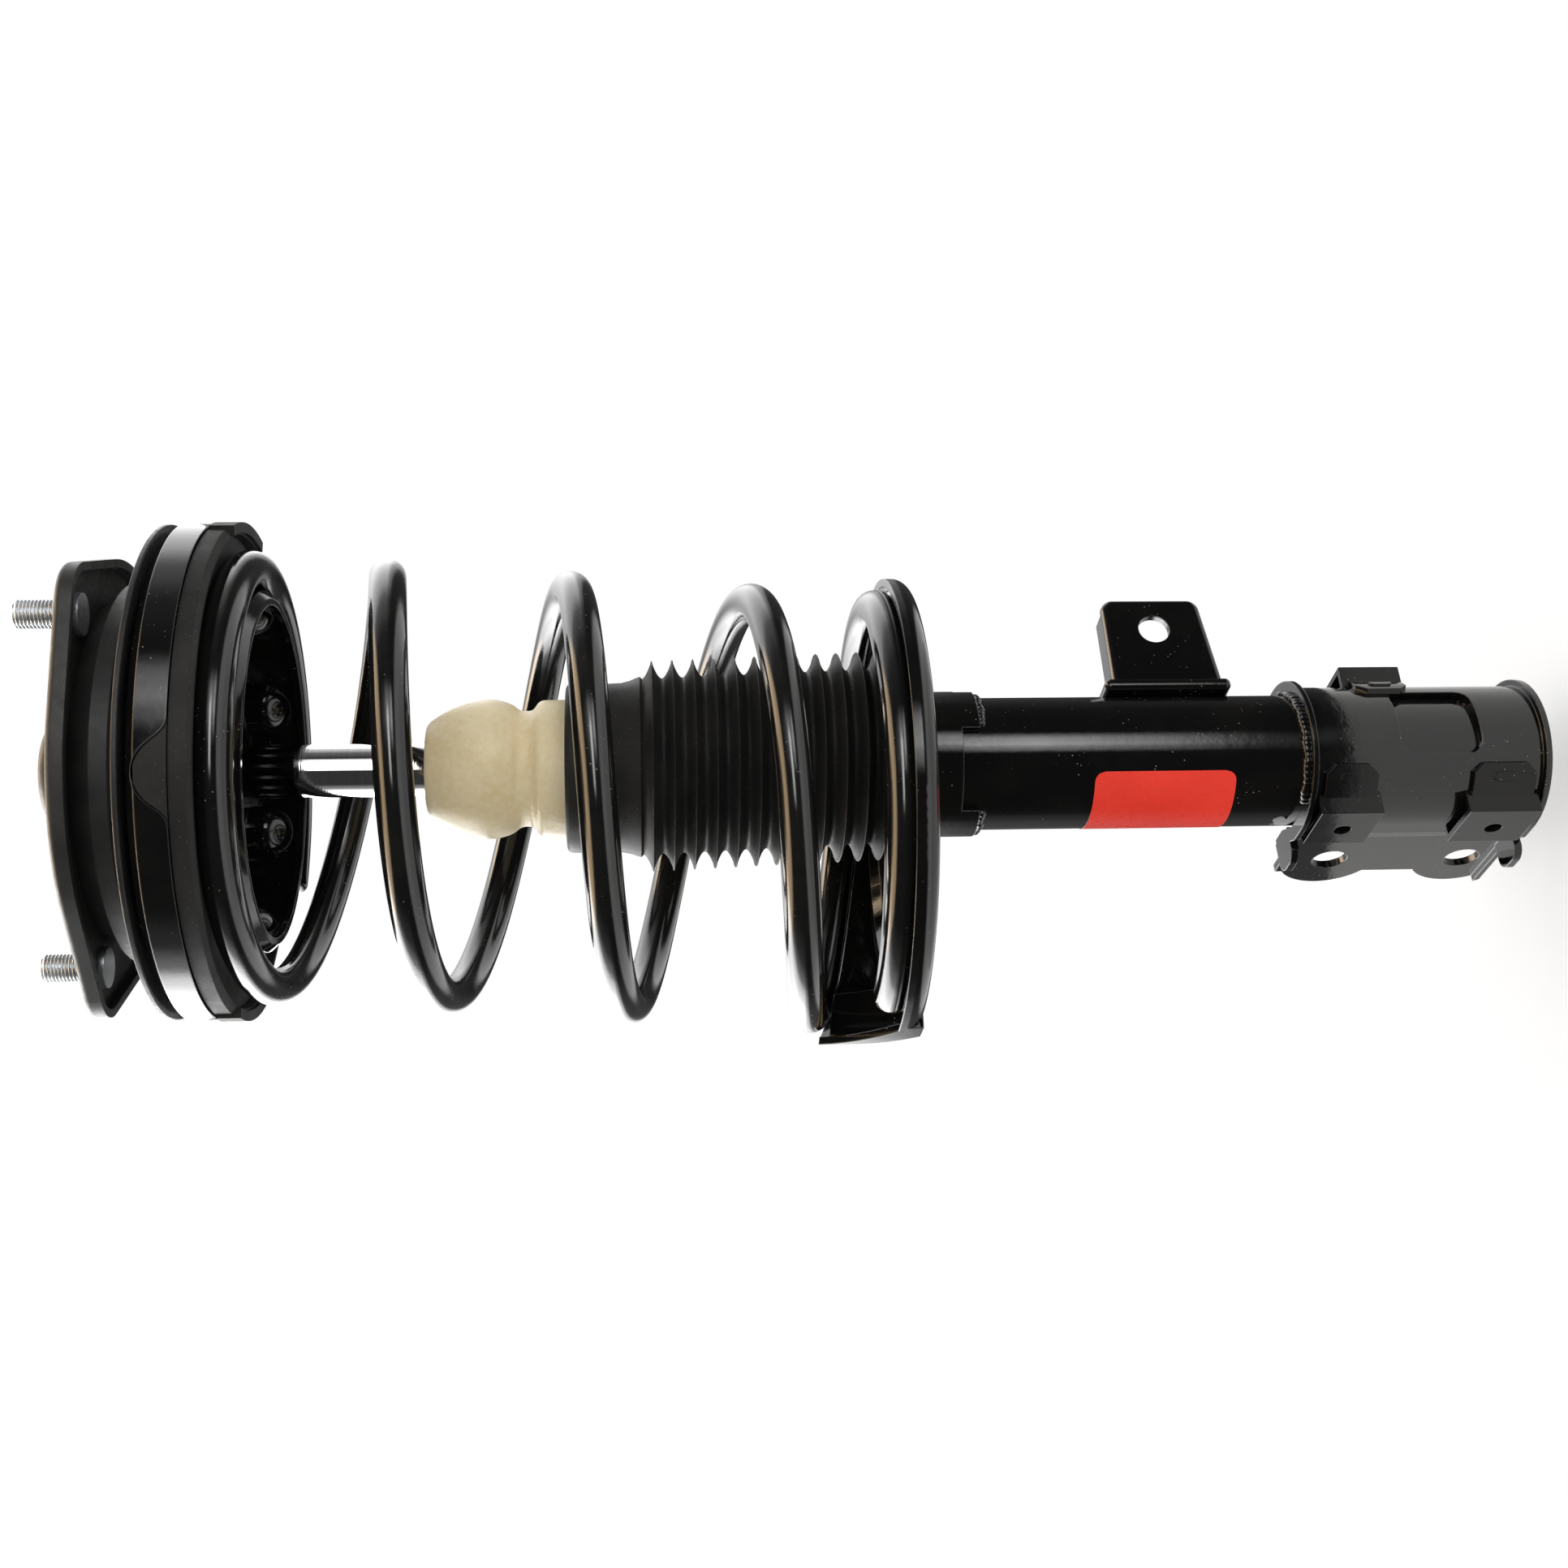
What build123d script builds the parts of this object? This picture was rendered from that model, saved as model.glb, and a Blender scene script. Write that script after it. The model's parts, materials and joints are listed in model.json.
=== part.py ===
from build123d import *
import math
import os

# Front suspension strut assembly: top mount, swivelling spring seat, coil spring
# and twin-tube damper with its knuckle bracket. Millimetres.
# The strut stands along +Z. The origin is the middle of the mount plate's upper face.
# +X points to the steering knuckle that the lower bracket grips, and the
# knuckle bolts lie along Y. Directions round the strut are degrees from +X.

# ---- top mount -------------------------------------------------------------
STUD_CIRCLE = 73.5
STUD_RADIUS = 5.0
STUD_COUNT = 3
STUD_FIRST_DIRECTION = 78.5
STUD_TIP = 18.0
STUD_ROOT_RADIUS = 5.4
STUD_HEAD_RADIUS = 7.5
STUD_HEAD_LENGTH = 2.5
PLATE_THICKNESS = 3.0
PLATE_RIM_DEPTH = 6.4
PLATE_BODY_RADIUS = 79.0
PLATE_CORNER_RADIUS = 18.0
PLATE_HOLE_RADIUS = 20.4
PLATE_NECK_HEIGHT = 5.0
CAP_RADIUS = 20.0
CAP_TOP = 21.0
CAP_WALL = 1.8
SHELL_RADIUS = 70.0
SHELL_WALL = 2.5
SHELL_BOTTOM = -22.0
SHELL_MOUTH_RADIUS = 44.0
SLEEVE_RADIUS = 16.8
SLEEVE_BOTTOM = -23.0
BUMP_CUP_RADIUS = 28.0
BUMP_CUP_WALL = 2.0
BUMP_CUP_BOTTOM = -40.0

# ---- swivel bearing --------------------------------------------------------
BALL_RADIUS = 2.0
BALL_CIRCLE = 58.0
BALL_COUNT = 30
BALL_HEIGHT = -28.6
BALL_GROOVE_RADIUS = 2.2
RACE_IN = 50.0
RACE_OUT = 65.2
SHIELD_RADIUS = 91.5
SHIELD_TOP = -25.0
SHIELD_BOTTOM = -27.0

# ---- upper spring seat -----------------------------------------------------
SEAT_RADIUS = 92.0
SEAT_TOP = -29.2
SEAT_SKIRT_BOTTOM = -42.8
SHEET = 2.6
SEAT_STEP_RADIUS = 68.0
SEAT_FLOOR = -36.2
SEAT_HOLE_RADIUS = 35.0
HUB_RADIUS = 67.4
HUB_BOTTOM = -61.0
HUB_LIP_RADIUS = 62.0
HUB_RIB_COUNT = 8
HUB_RIB_RADIUS = 12.0
HUB_RIB_CIRCLE = 68.0
HUB_RIB_END = -44.0
NEAR_LOBE_DIRECTION = 150.0
WIDE_LOBE_DIRECTION = 240.0
NEAR_LOBE_HALF_ANGLE = 11.3
WIDE_LOBE_HALF_ANGLE = 19.0
NOTCH_REACH = 24.0
ISOLATOR_RADIUS = 91.0
ISOLATOR_BOTTOM = -50.5
ISOLATOR_LIP_RADIUS = 87.2
ISOLATOR_FLAP_BOTTOM = -52.0
ISOLATOR_FLAP_HALF_ANGLE = 16.5

# ---- coil spring -----------------------------------------------------------
WIRE_RADIUS = 6.75
COIL_RADIUS = 77.5
COIL_PITCH = 68.0
COIL_FIRST_DIRECTION = 150.0
COIL_TOP_DROP = 54.0
COIL_BOTTOM_DROP = 286.3
COIL_ACTIVE_DROP = 46.5
COIL_START_TURN = -0.6
COIL_END_TURN = 4.167
COIL_POINTS_PER_TURN = 12
COIL_BLEND = 0.07
COIL_CLEARANCE = 0.5
COIL_NEAR_TAIL_START = 3.0
COIL_NEAR_TAIL_END = 3.75
LEAN_DIRECTION = 60.0
LEAN_SLOPE = 0.0716
LEAN_TOP_SHIFT = 2.0
LEAN_BOTTOM_SHIFT = 17.5

# ---- damper ----------------------------------------------------------------
ROD_RADIUS = 10.0
ROD_NECK_RADIUS = 7.0
ROD_NECK_TOP = 17.0
ROD_SHOULDER = -25.2
ROD_SPIGOT_RADIUS = 6.0
ROD_BOTTOM = -262.0
ROD_SPIGOT_BOTTOM = -297.0
TUBE_RADIUS = 25.4
TUBE_WALL = 2.5
TUBE_TOP = -198.0
TUBE_BOTTOM = -541.0
TUBE_CAP_TOP = -196.0
PRESSURE_RADIUS = 17.5
PRESSURE_BORE = 16.0
PRESSURE_TOP = -209.8
PRESSURE_BOTTOM = -526.0
GUIDE_BOTTOM = -222.0
PISTON_RADIUS = 15.6
PISTON_TOP = -266.0
PISTON_BOTTOM = -284.0
SHIM_COUNT = 4
SHIM_RADIUS = 13.2
SHIM_STEP = 1.6
SHIM_SPACING = 0.5
SHIM_THICKNESS = 0.45
RUNNING_GAP = 0.05

# ---- soft parts ------------------------------------------------------------
BUMPER_TOP = -116.0
BUMPER_TIP_RADIUS = 19.0
BUMPER_WAIST_RADIUS = 22.2
BUMPER_FOOT_RADIUS = 23.0
BUMPER_BORE_GAP = 0.6
BOOT_TOP = -169.0
BOOT_END = -292.5
BOOT_NECK_RADIUS = 32.0
BOOT_NECK_END = -192.0
BOOT_MOUTH_RADIUS = 26.9
BOOT_RIB_RADIUS = 40.0
BOOT_GROOVE_RADIUS = 33.5
BOOT_WALL = 1.8
BOOT_RIB_COUNT = 12
BOOT_FIRST_RIB = -201.1
BOOT_RIB_PITCH = 7.8

# ---- lower spring seat -----------------------------------------------------
PERCH_RADIUS = 88.4
PERCH_LIP_TOP = -288.8
PERCH_FACE = -294.9
PERCH_SHEET = 2.8
PERCH_INNER_RADIUS = 66.0
PERCH_WINDOW_COUNT = 4
PERCH_WINDOW_INNER = 44.0
PERCH_WINDOW_HALF_ANGLE = 27.0
PERCH_CORNER = 6.0
PERCH_TAIL_INNER = 69.4
TAIL_FOOT_DIRECTION = 88.0
TAIL_CREST_DIRECTION = 68.0
TAIL_END_DIRECTION = -45.0
TAIL_OPEN_DIRECTION = -30.0
TAIL_CREST = -267.4
TAIL_SLOPE = 0.199
TAIL_SLOPE_DIRECTION = 116.0
TAIL_LIP = 3.6
TAIL_SKIRT = 8.0
COLLAR_RADIUS = 27.9
COLLAR_BOTTOM = -316.0
COLLAR_TAB_BOTTOM = -323.0
COLLAR_TAB_COUNT = 3
COLLAR_TAB_DIRECTION = 205.0
COLLAR_TAB_HALF_ANGLE = 26.0

# ---- anti-roll bar link bracket --------------------------------------------
LINK_PLATE_X = -10.0
LINK_SHEET = 3.0
LINK_TOP_Z = -381.3
LINK_FOOT_Z = -427.0
LINK_TIP_Z = -421.0
LINK_REACH = 70.0
LINK_HOLE_Y = -55.4
LINK_HOLE_Z = -401.3
LINK_HOLE_RADIUS = 6.25
LINK_FLANGE = 11.0
LINK_FOLD = 2.4
LINK_WELD_Z = -400.6
LINK_WELD_LENGTH = 49.7
LINK_WELD_HEIGHT = 5.0
LINK_WELD_ROUND = 2.2

# ---- knuckle bracket -------------------------------------------------------
CLAMP_SHEET = 3.0
CLAMP_RADIUS = TUBE_RADIUS + CLAMP_SHEET
CLAMP_TOP = -447.7
CLAMP_BOTTOM = -540.3
CLAMP_LIP = 2.6
CLAMP_LIP_HEIGHT = 2.2
CHEEK_Y = 24.5
CHEEK_STEP_START_X = 8.0
CHEEK_STEP_END_X = 18.0
BOLT_X = 37.5
BOLT_UPPER_Z = -472.7
BOLT_LOWER_Z = -527.6
BOLT_HOLE_RADIUS = 7.0
EAR_RADIUS = 19.5
CHEEK_VALLEY_X = 47.5
WRAP_END_X = 26.0
WINDOW_TOP = -483.0
WINDOW_BOTTOM = -514.5
WINDOW_WIDTH = 28.6
WINDOW_DIRECTION = 185.0
FLANGE_X = 19.5
FLANGE_WIDTH = 15.0
FLANGE_Y = 36.5
HOSE_SHEET = 2.2
HOSE_OUTER_Y = 32.6
HOSE_BACK_X = -16.4
HOSE_FRONT_X = 7.8
HOSE_BACK_FOOT_Y = 22.0
HOSE_HOLE_X = -3.0
HOSE_TAB_MIDDLE = 134.5
HOSE_TAB_WIDTH = 13.0
HOSE_TAB_CORNER = 3.5
HOSE_HOLE_RADIUS = 3.3

LABEL_TOP = -366.0
LABEL_BOTTOM = -420.0
LABEL_THICKNESS = 0.25
LABEL_START = 44.5
LABEL_SWEEP = 98.0


# ---- shape helpers ---------------------------------------------------------
def direction(angle):
    """Unit vector in the XY plane, angle in degrees from +X."""
    return Vector(math.cos(math.radians(angle)), math.sin(math.radians(angle)), 0)


def disc(radius, low, high):
    """Solid cylinder on the strut axis between two heights."""
    return Pos(0, 0, low) * Cylinder(radius, high - low, align=(Align.CENTER, Align.CENTER, Align.MIN))


def ring(inner, outer, low, high):
    """Round ring on the strut axis between two heights."""
    return disc(outer, low, high) - disc(inner, low - 1, high + 1)


def turned(corners, rounding=0.0):
    """Solid of revolution about Z from (radius, height) corners."""
    face = make_face(Polyline(*corners, close=True))
    if rounding:
        face = fillet(face.vertices(), rounding)
    return revolve(Plane.XZ * face, Axis.Z)


def sector(inner, outer, low, high, middle, half_angle):
    """Part of a ring, centred on one direction round the strut."""
    face = make_face(Polyline((inner, low), (outer, low), (outer, high), (inner, high), close=True))
    piece = revolve(Plane.XZ * face, Axis.Z, revolution_arc=2 * half_angle)
    start = piece.center()
    now = math.degrees(math.atan2(start.Y, start.X))
    return Rot(0, 0, middle - now) * piece


def around(piece, count, first=0.0):
    """Copies of a piece spaced evenly round the strut axis."""
    return [Rot(0, 0, first + 360.0 * step / count) * piece for step in range(count)]


def hexagon(across_flats, low, high):
    """Hexagonal prism on the strut axis."""
    outline = RegularPolygon(across_flats / 2, 6, major_radius=False)
    return Pos(0, 0, low) * extrude(outline, high - low)


# ---- top mount -------------------------------------------------------------
def stud_centres():
    return [STUD_CIRCLE * direction(STUD_FIRST_DIRECTION + 120 * step) for step in range(STUD_COUNT)]


def mount_plate():
    """Rounded three-cornered plate with its edge turned down and a neck for the cap."""
    rounds = Sketch() + Circle(PLATE_BODY_RADIUS)
    for centre in stud_centres():
        rounds += Pos(centre) * Circle(PLATE_CORNER_RADIUS)
    outline = make_hull(rounds.edges())
    blank = Pos(0, 0, -PLATE_RIM_DEPTH) * extrude(outline, PLATE_RIM_DEPTH)
    blank = fillet(blank.faces().sort_by(Axis.Z)[-1].edges(), 2.4)
    pocket = offset(outline, -PLATE_THICKNESS)
    blank -= Pos(0, 0, -PLATE_RIM_DEPTH - 1) * extrude(pocket, PLATE_RIM_DEPTH + 1 - PLATE_THICKNESS)
    neck = disc(PLATE_HOLE_RADIUS + PLATE_THICKNESS, -PLATE_THICKNESS, PLATE_NECK_HEIGHT)
    neck = fillet(neck.edges().sort_by(Axis.Z)[-1], 1.6)
    plate = blank + neck - disc(PLATE_HOLE_RADIUS, -20, 20)
    for centre in stud_centres():
        plate -= Pos(centre) * Cylinder(STUD_ROOT_RADIUS, 20)
    return plate


def mount_studs():
    """Pressed-in studs: a thicker root in the plate and a flat round head under it."""
    shank = disc(STUD_RADIUS, 0, STUD_TIP)
    shank = chamfer(shank.edges().sort_by(Axis.Z)[-1], 1.2)
    root = disc(STUD_ROOT_RADIUS, -PLATE_THICKNESS, 0)
    head = disc(STUD_HEAD_RADIUS, -PLATE_THICKNESS - STUD_HEAD_LENGTH, -PLATE_THICKNESS)
    stud = shank + root + head
    return Compound(children=[Pos(centre) * stud for centre in stud_centres()])


def mount_lower_shell():
    """Pressed cup under the plate that carries the rubber and the bearing."""
    top = -PLATE_THICKNESS - 0.05
    inner = SHELL_RADIUS - SHELL_WALL - 8
    corners = [
        (inner, top), (inner, SHELL_BOTTOM + SHELL_WALL + 3), (inner - 6, SHELL_BOTTOM + SHELL_WALL),
        (SHELL_MOUTH_RADIUS, SHELL_BOTTOM + SHELL_WALL), (SHELL_MOUTH_RADIUS, SHELL_BOTTOM),
        (SHELL_RADIUS - 4, SHELL_BOTTOM), (SHELL_RADIUS, SHELL_BOTTOM + 4), (SHELL_RADIUS, -12),
        (SHELL_RADIUS - 8, top),
    ]
    shell = turned(corners)
    for centre in stud_centres():
        shell -= Pos(centre) * Cylinder(STUD_HEAD_RADIUS + 0.4, 14)
    return shell


def mount_rubber():
    """Bonded rubber ring between the shell and the inner sleeve."""
    outer = SHELL_RADIUS - SHELL_WALL - 8.1
    top = -PLATE_THICKNESS - 0.1
    bottom = SHELL_BOTTOM + SHELL_WALL + 0.05
    corners = [
        (SLEEVE_RADIUS, top), (outer, top), (outer, bottom + 3.5), (outer - 6.5, bottom),
        (36, bottom), (30, bottom + 2), (24, bottom), (SLEEVE_RADIUS, bottom),
    ]
    return turned(corners)


def mount_inner_sleeve():
    """Steel core that the rod neck passes through."""
    sleeve = ring(ROD_NECK_RADIUS, SLEEVE_RADIUS, SLEEVE_BOTTOM, 2.0)
    return sleeve


def rod_washer():
    return ring(ROD_NECK_RADIUS, 16.5, 2.0, 4.0)


def rod_nut():
    """Flanged lock nut on the rod neck."""
    nut = hexagon(22.0, 4.0, 14.5)
    nut += disc(14.0, 4.0, 6.2)
    nut -= disc(ROD_NECK_RADIUS, 0, 20)
    return nut


def dust_cap():
    """Domed cap that snaps into the plate's neck."""
    outer = disc(CAP_RADIUS, -2.0, CAP_TOP)
    outer = fillet(outer.edges().sort_by(Axis.Z)[-1], 5.0)
    inner = disc(CAP_RADIUS - CAP_WALL, -3.0, CAP_TOP - CAP_WALL)
    inner = fillet(inner.edges().sort_by(Axis.Z)[-1], 3.4)
    bead = turned([
        (CAP_RADIUS - 0.2, 5.4), (CAP_RADIUS + 1.4, 5.4), (CAP_RADIUS + 1.4, 6.6), (CAP_RADIUS - 0.2, 8.0),
    ])
    return outer - inner + bead


def bump_cup():
    """Cup that the bumper strikes, clamped between the rod shoulder and the sleeve."""
    cup = disc(BUMP_CUP_RADIUS, BUMP_CUP_BOTTOM, SLEEVE_BOTTOM)
    cup = fillet(cup.edges().sort_by(Axis.Z)[-1], 3.0)
    cup -= disc(BUMP_CUP_RADIUS - BUMP_CUP_WALL, BUMP_CUP_BOTTOM - 1, ROD_SHOULDER)
    return cup - disc(ROD_NECK_RADIUS, -60, 0)


# ---- swivel bearing --------------------------------------------------------
def ball_groove():
    return Pos(0, 0, BALL_HEIGHT) * Torus(BALL_CIRCLE, BALL_GROOVE_RADIUS)


def bearing_upper_race():
    return ring(RACE_IN, RACE_OUT, SHIELD_BOTTOM - 0.2, SHELL_BOTTOM) - ball_groove()


def bearing_lower_race():
    return ring(RACE_IN, RACE_OUT, SEAT_FLOOR + SHEET, -30.0) - ball_groove()


def bearing_cage():
    """Thin ring with one pocket for each ball."""
    cage = ring(BALL_CIRCLE - 3.2, BALL_CIRCLE + 3.2, BALL_HEIGHT - 0.9, BALL_HEIGHT + 0.9)
    pocket = Pos(BALL_CIRCLE, 0, BALL_HEIGHT) * Sphere(BALL_GROOVE_RADIUS - 0.1)
    for hole in around(pocket, BALL_COUNT):
        cage -= hole
    return cage


def bearing_balls():
    ball = Pos(BALL_CIRCLE, 0, BALL_HEIGHT) * Sphere(BALL_RADIUS)
    return Compound(children=around(ball, BALL_COUNT))


def dust_shield():
    """Thin plate over the spring seat, held between the upper race and the shell."""
    corners = [
        (RACE_OUT + 0.1, -22.2), (RACE_OUT + 3.5, -22.2), (RACE_OUT + 8, SHIELD_TOP),
        (SHIELD_RADIUS, SHIELD_TOP), (SHIELD_RADIUS, SHIELD_BOTTOM), (RACE_OUT + 0.1, SHIELD_BOTTOM),
    ]
    return turned(corners, 0.6)


# ---- upper spring seat -----------------------------------------------------
def bell_notch(middle, half_angle, low, high):
    """Bell-shaped cut through the seat's skirt, wide at its mouth and rounded at its top."""
    mouth = SEAT_RADIUS * math.tan(math.radians(half_angle))
    height = high - low
    side = mouth * 0.52
    bell = Spline((-mouth, 0), (-side, height * 0.6), (0, height), (side, height * 0.6), (mouth, 0),
                  tangents=[(1, 0), (1, 0)])
    face = make_face([bell, Line((mouth, 0), (-mouth, 0))])
    cutter = extrude(Plane.YZ * face, NOTCH_REACH)
    return Rot(0, 0, middle) * Pos(SEAT_RADIUS - NOTCH_REACH / 2, 0, low) * cutter


def lobe_notches(slack):
    """The four cuts in the skirt: two narrow ones and two wide ones."""
    low = SEAT_SKIRT_BOTTOM - 0.01
    narrow_top = -31.4 - slack
    wide_top = SEAT_TOP - SHEET - 0.2 - slack
    cuts = []
    narrow = NEAR_LOBE_HALF_ANGLE - slack / 2
    wide = WIDE_LOBE_HALF_ANGLE - slack / 2
    for turn in (0, 180):
        cuts.append(bell_notch(NEAR_LOBE_DIRECTION + turn, narrow, low, narrow_top))
        cuts.append(bell_notch(WIDE_LOBE_DIRECTION + turn, wide, low, wide_top))
    return cuts


def upper_spring_seat():
    """Pressed pan: bearing step in the middle, flat land for the spring, turned-down skirt."""
    top = SEAT_TOP
    step = SEAT_STEP_RADIUS
    corners = [
        (SEAT_HOLE_RADIUS, SEAT_FLOOR + SHEET), (step - SHEET, SEAT_FLOOR + SHEET),
        (step - SHEET, top - 1.2), (step - 1.2, top),
        (SEAT_RADIUS - 3, top), (SEAT_RADIUS, top - 3), (SEAT_RADIUS, SEAT_SKIRT_BOTTOM),
        (SEAT_RADIUS - SHEET, SEAT_SKIRT_BOTTOM), (SEAT_RADIUS - SHEET, top - SHEET - 1),
        (SEAT_RADIUS - SHEET - 1, top - SHEET), (step, top - SHEET), (step, SEAT_FLOOR),
        (SEAT_HOLE_RADIUS, SEAT_FLOOR),
    ]
    return turned(corners) - lobe_notches(0.0)


def seat_hub():
    """Drawn cup under the pan that keeps the top coil central, with ribs pressed into its wall."""
    wall = HUB_RADIUS - SHEET
    corners = [
        (SEAT_HOLE_RADIUS + 4, SEAT_FLOOR), (HUB_RADIUS, SEAT_FLOOR), (HUB_RADIUS, HUB_BOTTOM + 3),
        (HUB_RADIUS - 3, HUB_BOTTOM), (HUB_LIP_RADIUS, HUB_BOTTOM), (HUB_LIP_RADIUS, HUB_BOTTOM + SHEET),
        (wall, HUB_BOTTOM + SHEET + 1), (wall, SEAT_FLOOR - SHEET),
        (SEAT_HOLE_RADIUS + 4, SEAT_FLOOR - SHEET),
    ]
    hub = turned(corners)
    inside = ring(SEAT_HOLE_RADIUS + 4, wall + 0.5, HUB_BOTTOM + 4, SEAT_FLOOR - SHEET)
    length = SEAT_FLOOR - HUB_RIB_END
    rib = Pos(HUB_RIB_CIRCLE, 0, HUB_RIB_END + length / 2) * Cylinder(HUB_RIB_RADIUS, length)
    rib += Pos(HUB_RIB_CIRCLE, 0, HUB_RIB_END) * Sphere(HUB_RIB_RADIUS)
    for bulge in around(rib & inside, HUB_RIB_COUNT, NEAR_LOBE_DIRECTION + 180.0 / HUB_RIB_COUNT):
        hub += bulge
    return hub


def upper_isolator():
    """Rubber ring between the pan and the top coil, with ears that fill the skirt's notches."""
    coil_top = -(COIL_TOP_DROP - WIRE_RADIUS) + 0.1
    inside = SEAT_RADIUS - SHEET - 0.1
    corners = [
        (SEAT_STEP_RADIUS + 0.1, coil_top), (SEAT_STEP_RADIUS + 0.1, SEAT_TOP - SHEET - 0.1),
        (inside - 1, SEAT_TOP - SHEET - 0.1), (inside, SEAT_TOP - SHEET - 1.1), (inside, SEAT_SKIRT_BOTTOM),
        (ISOLATOR_RADIUS, SEAT_SKIRT_BOTTOM - 0.3), (ISOLATOR_RADIUS, ISOLATOR_BOTTOM + 1.5),
        (ISOLATOR_RADIUS - 1.5, ISOLATOR_BOTTOM), (ISOLATOR_LIP_RADIUS + 0.6, ISOLATOR_BOTTOM),
        (ISOLATOR_LIP_RADIUS, coil_top),
    ]
    rubber = turned(corners)
    ears = ring(inside - 0.5, SEAT_RADIUS - 0.3, SEAT_SKIRT_BOTTOM - 2, SEAT_TOP - SHEET - 0.5)
    for cut in lobe_notches(0.5):
        rubber += cut & ears
    flap = sector(ISOLATOR_RADIUS - 2.5, SEAT_RADIUS + 0.4, ISOLATOR_FLAP_BOTTOM, SEAT_SKIRT_BOTTOM - 0.3,
                  WIDE_LOBE_DIRECTION, ISOLATOR_FLAP_HALF_ANGLE)
    for copy in around(flap, 2):
        rubber += copy
    return rubber


# ---- coil spring -----------------------------------------------------------
def lower_bound(value, floor_value):
    """Smooth maximum of two drops, so the dead coil runs gently into the active one."""
    width = COIL_PITCH * COIL_BLEND
    gap = value - floor_value
    return (value + floor_value + math.sqrt(gap * gap + width * width)) / 2


def coil_drop(turn):
    """Distance of the wire's centre below the origin, before the spring's lean."""
    active = COIL_ACTIVE_DROP + COIL_PITCH * turn
    drop = lower_bound(active, COIL_TOP_DROP)
    return -lower_bound(-drop, -COIL_BOTTOM_DROP)


def lean_share(turn):
    """One on the active coils and none on the dead coils, which lie flat."""
    rise = min(max((turn - 0.05) / 0.45, 0.0), 1.0)
    fall = min(max((3.6 - turn) / 0.45, 0.0), 1.0)
    share = min(rise, fall)
    return share * share * (3 - 2 * share)


def coil_point(turn):
    """Centre of the wire at a number of turns from the front of the strut."""
    drop = coil_drop(turn)
    angle = COIL_FIRST_DIRECTION - 360.0 * turn
    shift = min(LEAN_TOP_SHIFT + LEAN_SLOPE * max(drop - COIL_TOP_DROP, 0), LEAN_BOTTOM_SHIFT)
    across = COIL_RADIUS * direction(angle)
    toward_lean = across.dot(direction(LEAN_DIRECTION)) + shift
    height = -drop + LEAN_SLOPE * toward_lean * lean_share(turn)
    centre = across + shift * direction(LEAN_DIRECTION)
    return Vector(centre.X, centre.Y, height)


def coil_path(first, last):
    """Smooth curve through the wire's centre between two numbers of turns."""
    count = round((last - first) * COIL_POINTS_PER_TURN)
    step = (last - first) / count
    return Spline(*[coil_point(first + step * index) for index in range(count + 1)])


def round_sweep(path, radius):
    start = Plane(path @ 0, z_dir=path % 0)
    return sweep(start * Circle(radius), path=path, is_frenet=True)


def coil_spring():
    """Round wire wound right-handed, with flat dead coils at both ends."""
    return round_sweep(coil_path(COIL_START_TURN, COIL_END_TURN), WIRE_RADIUS)


# ---- damper ----------------------------------------------------------------
def piston_rod():
    rod = disc(ROD_RADIUS, ROD_BOTTOM, ROD_SHOULDER)
    neck = disc(ROD_NECK_RADIUS, ROD_SHOULDER, ROD_NECK_TOP)
    neck = chamfer(neck.edges().sort_by(Axis.Z)[-1], 1.2)
    spigot = disc(ROD_SPIGOT_RADIUS, ROD_SPIGOT_BOTTOM, ROD_BOTTOM)
    return rod + neck + spigot


def rebound_cushion():
    """Rubber ring that meets the rod guide when the strut is fully extended."""
    return ring(ROD_RADIUS, 14.8, GUIDE_BOTTOM - 8.0, GUIDE_BOTTOM - 0.4)


def rebound_stop():
    return ring(ROD_RADIUS, 14.0, GUIDE_BOTTOM - 12.0, GUIDE_BOTTOM - 8.0)


def piston():
    body = ring(ROD_SPIGOT_RADIUS, PISTON_RADIUS, PISTON_BOTTOM, PISTON_TOP)
    body -= ring(PISTON_RADIUS - 1.0, PISTON_RADIUS + 1, PISTON_BOTTOM + 4, PISTON_TOP - 4)
    port = Pos(10.6, 0, (PISTON_TOP + PISTON_BOTTOM) / 2) * Cylinder(1.4, 30)
    for hole in around(port, 8):
        body -= hole
    return body


def piston_band():
    """Low-friction band in the piston's groove, running in the pressure tube."""
    return ring(PISTON_RADIUS - 1.0, PRESSURE_BORE - RUNNING_GAP, PISTON_BOTTOM + 4, PISTON_TOP - 4)


def valve_shims():
    """Spring-steel discs on both faces of the piston, each smaller than the one before."""
    shims = []
    for row in range(SHIM_COUNT):
        radius = SHIM_RADIUS - SHIM_STEP * row
        near = SHIM_SPACING * row
        far = near + SHIM_THICKNESS
        shims.append(ring(ROD_SPIGOT_RADIUS, radius, PISTON_TOP + near, PISTON_TOP + far))
        shims.append(ring(ROD_SPIGOT_RADIUS, radius, PISTON_BOTTOM - far, PISTON_BOTTOM - near))
    return Compound(children=shims)


def piston_nut():
    low = ROD_SPIGOT_BOTTOM + 2.0
    return hexagon(17.0, low, PISTON_BOTTOM - 2.0) - disc(ROD_SPIGOT_RADIUS, low - 1, PISTON_BOTTOM)


def reserve_tube():
    return ring(TUBE_RADIUS - TUBE_WALL, TUBE_RADIUS, TUBE_BOTTOM + 0.7, TUBE_TOP)


def tube_cap():
    """Pressed cap on the tube's top, which the bumper rests on."""
    cap = disc(TUBE_RADIUS + 1.6, TUBE_TOP - 7, TUBE_CAP_TOP)
    cap = fillet(cap.edges().sort_by(Axis.Z)[-1], 1.4)
    cap -= disc(TUBE_RADIUS, TUBE_TOP - 8, TUBE_TOP)
    return cap - disc(ROD_RADIUS + 1.0, -300, -100)


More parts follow.
